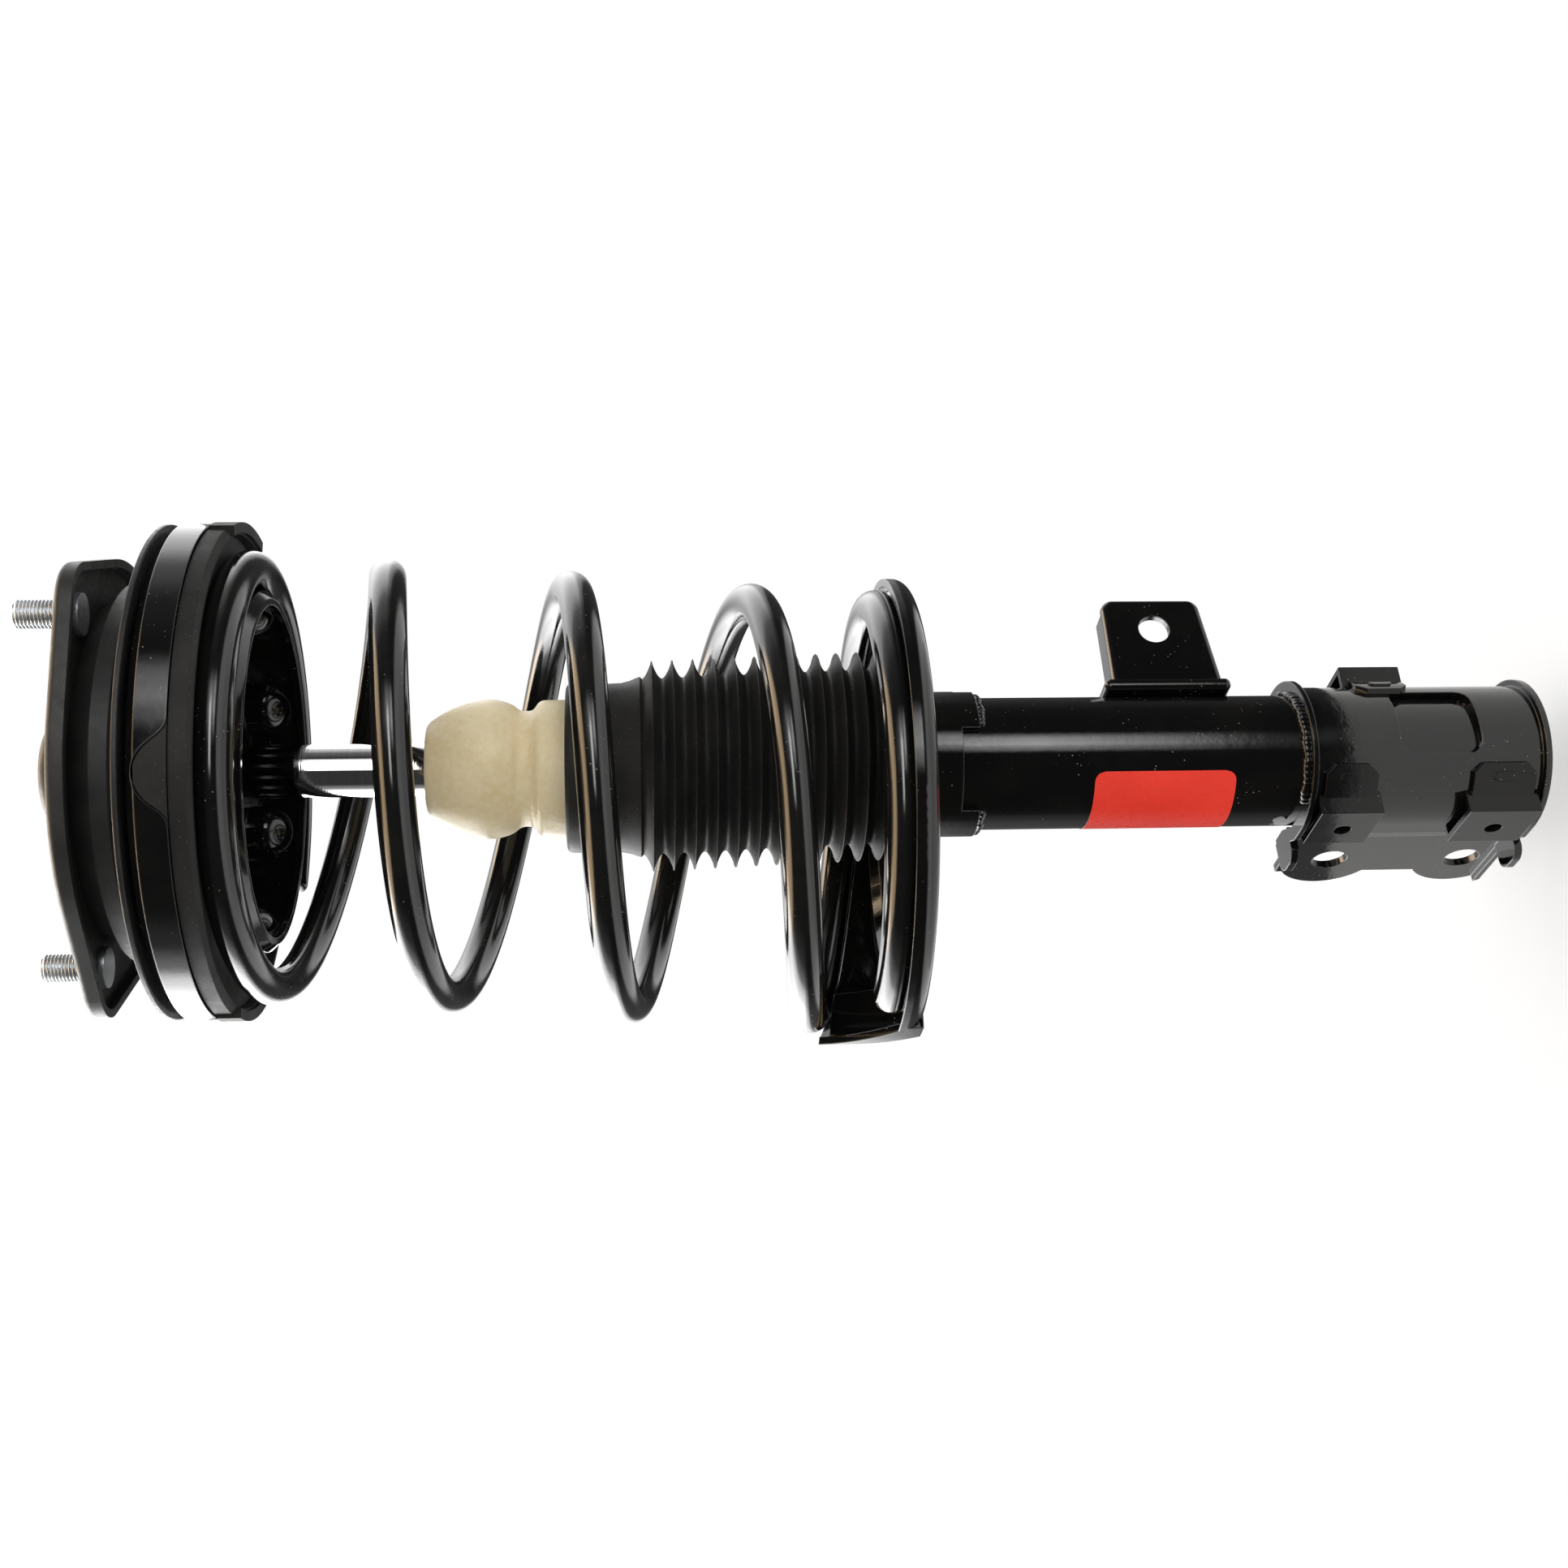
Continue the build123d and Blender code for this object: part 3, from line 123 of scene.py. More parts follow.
def add_studio_light():
    """White room with soft fill light.

    Glossy surfaces mirror a bright wall behind the mount's half, a strip light and a short window
    above the camera, the pale floor past the strut's foot, and a warm glow past its top.
    """
    world = bpy.data.worlds.new("studio")
    world.use_nodes = True
    bpy.context.scene.world = world
    tree = world.node_tree
    tree.nodes.clear()

    def node(kind, **settings):
        made = tree.nodes.new(kind)
        for key, value in settings.items():
            setattr(made, key, value)
        return made

    def math_node(operation, first, second=None):
        made = node("ShaderNodeMath", operation=operation)
        for socket, value in zip(made.inputs, (first, second)):
            if isinstance(value, (int, float)):
                socket.default_value = value
            elif value is not None:
                tree.links.new(value, socket)
        return made.outputs[0]

    coordinates = node("ShaderNodeTexCoord")
    split = node("ShaderNodeSeparateXYZ")
    tree.links.new(coordinates.outputs["Generated"], split.inputs[0])
    near = direction(VIEW_DIRECTION)
    up = direction(VIEW_DIRECTION + 90)
    x, y, z = split.outputs
    toward_near = math_node("ADD", math_node("MULTIPLY", x, near.x), math_node("MULTIPLY", y, near.y))
    toward_up = math_node("ADD", math_node("MULTIPLY", x, up.x), math_node("MULTIPLY", y, up.y))
    angle = math_node("ARCTAN2", toward_up, toward_near)
    share = math_node("ADD", math_node("DIVIDE", angle, 2 * math.pi), 0.5)
    rise = math_node("ADD", math_node("MULTIPLY", z, 0.5), 0.5)

    def ramp(value, stops):
        made = node("ShaderNodeValToRGB")
        made.color_ramp.interpolation = "EASE"
        elements = made.color_ramp.elements
        elements[1].position, elements[0].position = stops[-1][0], stops[0][0]
        inner = [elements.new(place) for place, level in stops[1:-1]]
        levels = [level for place, level in stops]
        for element, level in zip([elements[0], *inner, elements[-1]], levels):
            element.color = (level, level, level, 1)
        tree.links.new(value, made.inputs[0])
        return made.outputs[0]

    def round_strut(*stops):
        """Level against degrees from the camera, positive towards the top of the picture."""
        return ramp(share, [(degrees / 360.0 + 0.5, level) for degrees, level in stops])

    def along_strut(*stops):
        """Level against how far a ray points up the strut, from -1 to 1."""
        return ramp(rise, [(height * 0.5 + 0.5, level) for height, level in stops])

    def light(strength, colour):
        made = node("ShaderNodeBackground")
        made.inputs["Color"].default_value = (*colour, 1.0)
        if isinstance(strength, float):
            made.inputs["Strength"].default_value = strength
        else:
            tree.links.new(strength, made.inputs["Strength"])
        return made.outputs[0]

    def choose(switch, off, on):
        made = node("ShaderNodeMixShader")
        for socket, source in zip(made.inputs, (switch, off, on)):
            tree.links.new(source, socket)
        return made.outputs[0]

    wall = round_strut(
        (-180, 0.08), (-150, 0.6), (-124, 1.0), (-108, 0.75), (-97, 0.18), (-82, 0.03), (-60, 0.002),
        (55, 0.002), (80, 0.012), (104, 0.07), (125, 0.25), (150, 0.27), (180, 0.08),
    )
    wall_along = along_strut((-0.3, 0.02), (-0.18, 0.03), (-0.07, 0.35), (0.1, 1.0))
    strip = round_strut((18, 0.0), (27, 0.5), (34, 1.0), (41, 0.8), (56, 0.0))
    strip_along = along_strut(
        (-0.38, 0.0), (-0.33, 0.03), (-0.27, 0.4), (-0.21, 0.7), (-0.15, 0.4), (-0.07, 0.2),
        (0.05, 0.34), (0.2, 0.3), (0.42, 0.06), (0.7, 0.0),
    )
    window = round_strut((0, 0.0), (9, 0.8), (19, 1.0), (33, 0.8), (44, 0.0))
    window_along = along_strut((0.0, 0.0), (0.06, 0.9), (0.11, 1.0), (0.17, 0.8), (0.23, 0.0))
    foot_side = along_strut((-0.97, 0.06), (-0.85, 0.12), (-0.7, 0.15), (-0.55, 0.15), (-0.44, 0.0))
    cool = math_node(
        "ADD", math_node("MULTIPLY", wall, wall_along), math_node("MULTIPLY", strip, strip_along)
    )
    cool = math_node("ADD", cool, math_node("MULTIPLY", window, window_along))
    cool = math_node("ADD", cool, foot_side)
    cool = math_node("MULTIPLY", math_node("ADD", cool, DIMMEST), BRIGHTEST)
    glow = along_strut((0.72, 0.0), (0.82, 0.5), (0.93, 0.65), (0.99, 0.05))
    warm = math_node("MULTIPLY", glow, BRIGHTEST)
    reflected = node("ShaderNodeAddShader")
    tree.links.new(light(cool, WHITE), reflected.inputs[0])
    tree.links.new(light(warm, WARM_COLOUR), reflected.inputs[1])
    fill_level = round_strut(
        (-180, 0.55), (-90, 0.5), (-40, 0.75), (30, 1.0), (90, 1.0), (180, 0.6)
    )
    fill = math_node("MULTIPLY", fill_level, FILL_STRENGTH)
    seen = node("ShaderNodeLightPath")
    soft = light(fill, FILL_COLOUR)
    surroundings = choose(seen.outputs["Is Glossy Ray"], soft, reflected.outputs[0])
    backdrop = choose(seen.outputs["Is Camera Ray"], surroundings, light(1.0, WHITE))
    output = node("ShaderNodeOutputWorld")
    tree.links.new(backdrop, output.inputs[0])
    bpy.context.scene.view_settings.view_transform = "Standard"


# ---- node materials --------------------------------------------------------
class Finish:
    """A material whose colour, roughness and bump come from noise in the piece's own coordinates."""

    def __init__(self, name, **sockets):
        self.material = bpy.data.materials.new(name)
        self.material.use_nodes = True
        self.tree = self.material.node_tree
        self.surface = self.tree.nodes["Principled BSDF"]
        for socket, value in sockets.items():
            self.surface.inputs[socket.replace("_", " ")].default_value = value
        self.place = self.node("ShaderNodeTexCoord").outputs["Object"]

    def node(self, kind, **settings):
        made = self.tree.nodes.new(kind)
        for key, value in settings.items():
            setattr(made, key, value)
        return made

    def link(self, source, target):
        self.tree.links.new(source, target)

    def noise(self, scale, detail, stretch=(1, 1, 1)):
        """Noise from 0 to 1 with features about 1/scale metres wide."""
        mapping = self.node("ShaderNodeMapping")
        mapping.inputs["Scale"].default_value = stretch
        self.link(self.place, mapping.inputs["Vector"])
        made = self.node("ShaderNodeTexNoise")
        made.inputs["Scale"].default_value = scale
        made.inputs["Detail"].default_value = detail
        self.link(mapping.outputs[0], made.inputs["Vector"])
        return made.outputs["Fac"]

    def dots(self, scale, size):
        """One in each cell of a fine random grid, within a radius of size cells, and zero elsewhere."""
        cells = self.node("ShaderNodeTexVoronoi")
        cells.inputs["Scale"].default_value = scale
        self.link(self.place, cells.inputs["Vector"])
        return self.levels(cells.outputs["Distance"], size * 0.6, size, 1.0, 0.0)

    def levels(self, value, low, high, at_low=0.0, at_high=1.0):
        """Straight ramp between two values, held outside them."""
        made = self.node("ShaderNodeMapRange")
        for socket, number in zip(list(made.inputs)[1:5], (low, high, at_low, at_high)):
            socket.default_value = number
        self.link(value, made.inputs["Value"])
        return made.outputs[0]

    def combine(self, operation, first, second):
        made = self.node("ShaderNodeMath", operation=operation)
        for socket, value in zip(made.inputs, (first, second)):
            if isinstance(value, (int, float)):
                socket.default_value = value
            else:
                self.link(value, socket)
        return made.outputs[0]

    def mix(self, share, first, second):
        """Colour between two colours or colour outputs."""
        made = self.node("ShaderNodeMix", data_type="RGBA")
        self.link(share, made.inputs["Factor"])
        for socket, value in zip([s for s in made.inputs if s.type == "RGBA"], (first, second)):
            if isinstance(value, tuple):
                socket.default_value = (*value, 1.0)
            else:
                self.link(value, socket)
        return [s for s in made.outputs if s.type == "RGBA"][0]

    def colour(self, output):
        self.link(output, self.surface.inputs["Base Color"])

    def roughness(self, output):
        self.link(output, self.surface.inputs["Roughness"])

    def bump(self, height, depth, edge_radius=0.0):
        """Bump of a depth in metres, over normals rounded at the edges where a radius is given."""
        made = self.node("ShaderNodeBump")
        made.inputs["Distance"].default_value = depth
        self.link(height, made.inputs["Height"])
        if edge_radius:
            rounded = self.node("ShaderNodeBevel", samples=4)
            rounded.inputs["Radius"].default_value = edge_radius
            self.link(rounded.outputs[0], made.inputs["Normal"])
        self.link(made.outputs[0], self.surface.inputs["Normal"])


DUST_COLOUR = (0.16, 0.15, 0.13)
RUBBER_DUST_COLOUR = (0.10, 0.10, 0.09)
ZINC_FILM = (0.84, 0.83, 0.78)
STEEL_SHADE = 0.86


def gloss_paint(name, shade, rough, grain, edge_radius, shine=0.55):
    """Black paint with orange peel, rubbed patches and dust."""
    paint = Finish(name, Specular_IOR_Level=shine)
    rubbed = paint.levels(paint.noise(35.0, 4.0), 0.45, 0.75)
    dust = paint.dots(420.0, 0.13)
    scarce = paint.levels(paint.noise(60.0, 2.0), 0.52, 0.62)
    specks = paint.combine("MULTIPLY", dust, scarce)
    fresh = (shade, shade, shade * 1.02)
    worn = paint.mix(rubbed, fresh, (shade * 1.9, shade * 1.8, shade * 1.6))
    paint.colour(paint.mix(specks, worn, DUST_COLOUR))
    smooth = paint.levels(paint.noise(140.0, 3.0), 0.3, 0.7, rough, rough * 1.6)
    paint.roughness(paint.combine("ADD", smooth, paint.combine("MULTIPLY", specks, 0.4)))
    peel = paint.combine("ADD", paint.noise(grain, 2.0), paint.combine("MULTIPLY", specks, 0.6))
    paint.bump(peel, 0.000022, edge_radius)
    return paint.material


def rubber(name, shade, rough):
    """Matte black rubber with a fine moulded grain and a dusty bloom."""
    skin = Finish(name, Specular_IOR_Level=0.16)
    bloom = skin.levels(skin.noise(50.0, 5.0), 0.35, 0.75)
    specks = skin.dots(520.0, 0.10)
    base = skin.mix(bloom, (shade, shade, shade), (shade * 1.8, shade * 1.75, shade * 1.65))
    skin.colour(skin.mix(specks, base, RUBBER_DUST_COLOUR))
    skin.roughness(skin.levels(skin.noise(90.0, 3.0), 0.3, 0.7, rough, rough + 0.14))
    skin.bump(skin.noise(1800.0, 3.0), 0.00012, 0.0004)
    return skin.material


def plastic(name, shade, shine):
    """Satin black skin of moulded plastic or of a dipped coating."""
    skin = Finish(name, Specular_IOR_Level=shine)
    cloud = skin.levels(skin.noise(70.0, 4.0), 0.3, 0.7)
    skin.colour(skin.mix(cloud, (shade, shade, shade), (shade * 1.6, shade * 1.6, shade * 1.55)))
    skin.roughness(skin.levels(skin.noise(300.0, 2.0), 0.3, 0.7, 0.36, 0.5))
    skin.bump(skin.noise(2400.0, 2.0), 0.00005, 0.0004)
    return skin.material


def zinc(name, tint, rough):
    """Zinc plated steel: pale grey under a cloudy, slightly yellow film."""
    metal = Finish(name, Metallic=1.0)
    film = metal.levels(metal.noise(420.0, 4.0), 0.3, 0.7)
    filmed = tuple(part * kept for part, kept in zip(tint, ZINC_FILM))
    metal.colour(metal.mix(film, tint, filmed))
    metal.roughness(metal.levels(metal.noise(700.0, 3.0), 0.3, 0.7, rough, rough + 0.18))
    metal.bump(metal.noise(2600.0, 2.0), 0.000012)
    return metal.material


def turned_steel(name, tint, rough, rings):
    """Machined or ground steel with fine rings round the strut axis."""
    metal = Finish(name, Metallic=1.0)
    lines = metal.noise(rings, 3.0, (0.02, 0.02, 1.0))
    shaded = tuple(part * STEEL_SHADE for part in tint)
    metal.colour(metal.mix(metal.levels(lines, 0.3, 0.7), tint, shaded))
    metal.roughness(metal.levels(metal.noise(160.0, 4.0), 0.35, 0.7, rough, rough * 1.8))
    metal.bump(lines, 0.000012, 0.0003)
    return metal.material


def sintered_iron():
    """Porous pressed iron, its pores drawn as dark dots of painted shade."""
    metal = Finish("sintered_iron_finish", Metallic=0.85)
    # Dark dots at the pores: painted shade inside the holes.
    pore_shade = metal.dots(1500.0, 0.3)
    metal.colour(metal.mix(pore_shade, (0.22, 0.21, 0.20), (0.05, 0.05, 0.05)))
    metal.roughness(metal.levels(metal.noise(400.0, 3.0), 0.3, 0.7, 0.5, 0.7))
    metal.bump(metal.noise(1500.0, 3.0), 0.0001, 0.0003)
    return metal.material


def ivory_foam():
    """Cream cellular foam, smooth skinned, with paler and browner clouds."""
    foam = Finish(
        "ivory_foam_finish",
        Subsurface_Weight=0.18,
        Subsurface_Scale=0.004,
        Specular_IOR_Level=0.35,
    )
    foam.surface.inputs["Subsurface Radius"].default_value = (1.0, 0.6, 0.3)
    clouds = foam.levels(foam.noise(38.0, 5.0), 0.3, 0.72)
    mottle = foam.levels(foam.noise(420.0, 4.0), 0.35, 0.7)
    base = foam.mix(clouds, (0.70, 0.56, 0.31), (0.80, 0.69, 0.45))
    foam.colour(foam.mix(foam.combine("MULTIPLY", mottle, 0.35), base, (0.86, 0.79, 0.60)))
    foam.roughness(foam.levels(foam.noise(120.0, 3.0), 0.3, 0.7, 0.34, 0.5))
    foam.bump(foam.combine("ADD", foam.noise(700.0, 4.0), foam.noise(160.0, 2.0)), 0.00018)
    return foam.material


def red_film():
    """Printed red-orange film."""
    film = Finish("red_label_finish", Specular_IOR_Level=0.5)
    fade = film.levels(film.noise(30.0, 3.0), 0.3, 0.7)
    film.colour(film.mix(fade, (0.80, 0.030, 0.013), (0.88, 0.040, 0.018)))
    film.roughness(film.levels(film.noise(500.0, 3.0), 0.3, 0.7, 0.26, 0.36))
    film.bump(film.noise(220.0, 2.0), 0.00004)
    return film.material


def polymer():
    """Bronze-brown sliding polymer."""
    band = Finish("polymer_finish", Specular_IOR_Level=0.45)
    grain = band.levels(band.noise(900.0, 3.0), 0.3, 0.7)
    band.colour(band.mix(grain, (0.20, 0.16, 0.10), (0.28, 0.22, 0.14)))
    band.roughness(band.levels(grain, 0.0, 1.0, 0.35, 0.5))
    band.bump(grain, 0.00003)
    return band.material


FINISHES = {
    "black_paint": gloss_paint("black_paint_finish", 0.0036, 0.06, 300.0, 0.0007),
    "spring_paint": gloss_paint("spring_paint_finish", 0.0055, 0.10, 260.0, 0.0),
    "zinc_steel": zinc("zinc_finish", (0.70, 0.73, 0.78), 0.34),
    "bare_steel": turned_steel("bare_steel_finish", (0.50, 0.50, 0.51), 0.26, 900.0),
    "chrome": turned_steel("chrome_finish", (0.78, 0.78, 0.79), 0.035, 1800.0),
    "sintered_iron": sintered_iron(),
    "black_rubber": rubber("black_rubber_finish", 0.014, 0.50),
    "boot_rubber": rubber("boot_rubber_finish", 0.012, 0.46),
    "black_plastic": plastic("black_plastic_finish", 0.014, 0.3),
    "low_friction_polymer": polymer(),
    "ivory_foam": ivory_foam(),
    "red_label": red_film(),
}
MOUNT_COAT = plastic("mount_coat_finish", 0.022, 0.25)
# A second copy of the black paint with about half its shine, so the folded brackets reflect less and
# look darker than the clamp: painted shade for faces that catch less light.
BRACKET_SHADED_PAINT = gloss_paint("bracket_painted_shade_finish", 0.0045, 0.08, 300.0, 0.0005, 0.28)


def finish_cad_nodes():
    """Gives every CAD node the finish of its own material slot."""
    for part in frame["record"]["subparts"]:
        node = frame["nodes"][part["node"]]
        node.data.materials.clear()
        node.data.materials.append(FINISHES[part["material_slot"]])


# ---- mesh helpers ----------------------------------------------------------
def piece_from(name, points, faces, slot, smooth_angle=50.0):
    """Mesh object with one finish, smooth except at edges sharper than an angle."""
    mesh = bpy.data.meshes.new(name)
    mesh.from_pydata([tuple(point) for point in points], [], faces)
    mesh.update()
    mesh.shade_smooth()
    mesh.set_sharp_from_angle(angle=math.radians(smooth_angle))
    mesh.materials.append(FINISHES[slot])
    piece = bpy.data.objects.new(name, mesh)
    bpy.context.scene.collection.objects.link(piece)
    return piece


def skin_rings(rings, closed_ends=True):
    """Points and faces of a surface through rings of equal size, each ring closed on itself."""
    count = len(rings[0])
    points = [point for ring in rings for point in ring]
    faces = []
    for row in range(len(rings) - 1):
        for step in range(count):
            after = (step + 1) % count
            low, high = row * count, (row + 1) * count
            faces.append((low + step, low + after, high + after, high + step))
    if closed_ends:
        faces.append(tuple(reversed(range(count))))
        faces.append(tuple(range((len(rings) - 1) * count, len(rings) * count)))
    return points, faces


def lathe(name, profile, slot, body, sides, centre_of=None, wobble=None):
    """Closed surface of revolution from a closed list of (radius, height) in millimetres."""
    rings = []
    for step in range(sides):
        angle = 360.0 * step / sides
        ring = []
        for radius, height in profile:
            shift = centre_of(height) if centre_of else Vector((0, 0, 0))
            extra = wobble(angle, radius, height) if wobble else 0.0
            ring.append((direction(angle, radius + extra, height) + shift) * MM)
        rings.append(ring)
    rings.append(rings[0])
    points, faces = skin_rings(rings, closed_ends=False)
    count = len(profile)
    last = sides * count
    faces = [tuple(index % last for index in face) for face in faces]
    piece = piece_from(name, points[:last], [face[::-1] for face in faces], slot)
    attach(piece, body)
    return piece


def rounded_profile(corners, steps):
    """Corners (radius, height, rounding) joined by straight runs and curved corners, closed."""
    outline = []
    count = len(corners)
    for index, (x, y, rounding) in enumerate(corners):
        here = Vector((x, y))
        before = Vector(corners[index - 1][:2])
        after = Vector(corners[(index + 1) % count][:2])
        back = (before - here).normalized() * min(rounding, (before - here).length * 0.45)
        ahead = (after - here).normalized() * min(rounding, (after - here).length * 0.45)
        for step in range(steps + 1):
            t = step / steps
            point = (here + back) * (1 - t) ** 2 + here * 2 * t * (1 - t) + (here + ahead) * t ** 2
            outline.append((point.x, point.y))
    return outline


# ---- coil spring -----------------------------------------------------------
WIRE_RADIUS = 6.75
COIL_RADIUS = 77.5
COIL_PITCH = 68.0
COIL_TOP_DROP = 54.0
COIL_BOTTOM_DROP = 286.3
COIL_SEATED_DROP = 258.0
COIL_ACTIVE_DROP = 46.5
COIL_START_TURN = -0.6
COIL_END_TURN = 4.167
COIL_BLEND = 0.07
COIL_STEPS_PER_TURN = 110
WIRE_SIDES = 28
WIRE_END_INSETS = (0.0, 0.35, 0.75, 1.35, 2.2)
LEAN_DIRECTION = 60.0
LEAN_SLOPE = 0.0716
LEAN_TOP_SHIFT = 2.0
LEAN_BOTTOM_SHIFT = 17.5
LEAN_START_TURN = 0.05
LEAN_STOP_TURN = 3.6
LEAN_EASE_TURNS = 0.45


def lower_bound(value, floor_value):
    """Smooth maximum of two drops, so the dead coil runs gently into the active one."""
    width = COIL_PITCH * COIL_BLEND
    gap = value - floor_value
    return (value + floor_value + math.sqrt(gap * gap + width * width)) / 2


def lean_share(turn):
    """One on the active coils and none on the dead coils, which lie flat."""
    rise = min(max((turn - LEAN_START_TURN) / LEAN_EASE_TURNS, 0.0), 1.0)
    fall = min(max((LEAN_STOP_TURN - turn) / LEAN_EASE_TURNS, 0.0), 1.0)
    share = min(rise, fall)
    return share * share * (3 - 2 * share)


def coil_point(turn):
    """Centre of the wire, in millimetres, at a number of turns from the front of the strut."""
    drop = lower_bound(COIL_ACTIVE_DROP + COIL_PITCH * turn, COIL_TOP_DROP)
    drop = -lower_bound(-drop, -COIL_BOTTOM_DROP)
    shift = min(LEAN_TOP_SHIFT + LEAN_SLOPE * max(drop - COIL_TOP_DROP, 0), LEAN_BOTTOM_SHIFT)
    across = direction(VIEW_DIRECTION - 360.0 * turn, COIL_RADIUS)
    toward_lean = across.dot(direction(LEAN_DIRECTION)) + shift
    centre = across + direction(LEAN_DIRECTION, shift)
    centre.z = -drop + LEAN_SLOPE * toward_lean * lean_share(turn)
    return centre


def coil_spring():
    """Round wire whose rings keep their shape, with rounded ends, along the coil's path.

    The last coil lies on the perch and its raised tail. A share of the strut's motion is worked out for
    each ring, all of it for that last coil, but nothing uses these shares.
    """
    count = round((COIL_END_TURN - COIL_START_TURN) * COIL_STEPS_PER_TURN)
    step = (COIL_END_TURN - COIL_START_TURN) / count
    depth = WIRE_END_INSETS[-1]
    rings, shares = [], []

    def ring_at(turn, radius, along):
        centre = coil_point(turn)
        tangent = (coil_point(turn + 0.002) - coil_point(turn - 0.002)).normalized()
        outward = Vector((centre.x, centre.y, 0)) - direction(LEAN_DIRECTION, LEAN_BOTTOM_SHIFT / 2)
        outward = (outward - tangent * outward.dot(tangent)).normalized()
        side = tangent.cross(outward)
        middle = centre + tangent * along
        ring = []
        for k in range(WIRE_SIDES):
            a = 2 * math.pi * k / WIRE_SIDES
            ring.append((middle + (outward * math.cos(a) + side * math.sin(a)) * radius) * MM)
        rings.append(ring)
        share = (-COIL_TOP_DROP - centre.z) / (COIL_SEATED_DROP - COIL_TOP_DROP)
        shares.append(min(max(share, 0.0), 1.0))

    def end_radius(inset):
        """Radius of the wire's rounded end at a distance behind its face."""
        return WIRE_RADIUS - depth + math.sqrt(depth ** 2 - (depth - inset) ** 2)

    for inset in WIRE_END_INSETS:
        ring_at(COIL_START_TURN, end_radius(inset), inset)
    for index in range(1, count):
        ring_at(COIL_START_TURN + step * index, WIRE_RADIUS, 0.0)
    for inset in reversed(WIRE_END_INSETS):
        ring_at(COIL_END_TURN, end_radius(inset), -inset)
    points, faces = skin_rings(rings)
    piece = piece_from("coil_wire", points, faces, "spring_paint", 60.0)
    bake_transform(piece)
    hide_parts("coil_spring")


# ---- soft parts ------------------------------------------------------------
TUBE_CAP_TOP = -196.0
ROD_RADIUS = 10.0
BOOT_LEAN_DIRECTION = 240.0


def jounce_bumper():
    """Cream foam bumper: a cone with rounded shoulders, a waist, and a collar that the boot holds."""
    foot = TUBE_CAP_TOP + 0.05
    bore = ROD_RADIUS + 0.6
    cone = [(14.5, -116.8, 1.5), (17.6, -117.4, 3.0), (22.4, -125.0, 6.0), (25.2, -133.0, 6.0)]
    waist = [(26.6, -141.5, 5.5), (24.6, -148.5, 3.5), (21.8, -151.6, 2.0), (21.8, -156.4, 1.6)]
    collar = [(25.8, -159.2, 2.0), (26.0, -177.0, 2.0), (23.0, -180.0, 1.5), (23.0, foot, 0.8)]
    inside = [(bore, foot, 0.5), (bore, -121.0, 0.8), (13.0, -118.0, 1.5)]
    outline = rounded_profile(cone + waist + collar + inside, 8)

    def swell(angle, radius, height):
        """A tenth of a millimetre out of round, outside the bore."""
        return 0.12 * math.sin(math.radians(angle * 2 + 40)) * (radius > 15)

    piece = lathe("foam_bumper", outline, "ivory_foam", "strut", 120, wobble=swell)
    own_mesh(piece)
    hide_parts("jounce_bumper")


BOOT_TOP = -169.0
BOOT_END = -292.4
BOOT_MOUTH_RADIUS = 27.0
BOOT_NECK_RADIUS = 32.0
BOOT_FIRST_RIB = -201.1
BOOT_RIB_PITCH = 7.8
BOOT_RIB_COUNT = 12
BOOT_RIB_RADIUS = 40.0
BOOT_GROOVE_RADIUS = 33.2
BOOT_WALL = 1.6
BOOT_LEAN = 3.6
RIB_LIP = 0.10
RIB_STATIONS = (0.06, 0.09, 0.105, 0.18, 0.32, 0.5, 0.7, 0.9)


def boot_centre(height):
    """The boot's free end leans a few millimetres off the axis."""
    share = min(max((-190.0 - height) / 100.0, 0.0), 1.0)
    return direction(BOOT_LEAN_DIRECTION, BOOT_LEAN * share)


def boot_rib_radius(offset):
    """Radius at a share of half a pitch from a rib's crest: a thin lip on a hollow-sided fin."""
    share = abs(offset)
    if share > RIB_LIP:
        reach = (1 - share) ** 1.75
    else:
        reach = 0.83 + 0.17 * math.sqrt(1 - (share / RIB_LIP) ** 2)
    return BOOT_GROOVE_RADIUS + (BOOT_RIB_RADIUS - BOOT_GROOVE_RADIUS) * reach


def dust_boot():
    """Rubber bellows: a plain neck over the bumper's collar, then twelve sharp fins."""
    crests = [BOOT_FIRST_RIB - BOOT_RIB_PITCH * rib for rib in range(BOOT_RIB_COUNT)]
    offsets = [-offset for offset in reversed(RIB_STATIONS)] + [0.0, *RIB_STATIONS]
    outer = [
        (BOOT_MOUTH_RADIUS, BOOT_TOP - 1.2), (BOOT_MOUTH_RADIUS, BOOT_TOP - 0.3), (27.6, BOOT_TOP),
        (30.6, BOOT_TOP), (31.6, BOOT_TOP - 0.6), (BOOT_NECK_RADIUS, BOOT_TOP - 2.0),
        (BOOT_NECK_RADIUS, -176.0), (31.9, -184.0), (32.1, -189.5), (32.9, -193.0), (33.8, -195.2),
        (34.2, -196.6),
    ]
    for crest in crests:
        for offset in offsets:
            outer.append((boot_rib_radius(offset), crest - offset * BOOT_RIB_PITCH / 2))
    outer += [(BOOT_GROOVE_RADIUS + 0.2, BOOT_END + 0.4), (BOOT_GROOVE_RADIUS - 0.3, BOOT_END)]
    inner = [(BOOT_GROOVE_RADIUS - BOOT_WALL * 1.5, BOOT_END)]
    for crest in reversed(crests):
        inner.append((BOOT_GROOVE_RADIUS - BOOT_WALL, crest - 0.5 * BOOT_RIB_PITCH))
        inner.append((BOOT_RIB_RADIUS - 3.6, crest))
    inner += [
        (BOOT_GROOVE_RADIUS - BOOT_WALL, -196.8), (BOOT_NECK_RADIUS - BOOT_WALL, -191.0),
        (BOOT_NECK_RADIUS - BOOT_WALL, -174.0), (BOOT_MOUTH_RADIUS, -172.5),
    ]
    piece = lathe("boot_bellows", outer + inner, "boot_rubber", "strut", 144, centre_of=boot_centre)
    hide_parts("dust_boot")


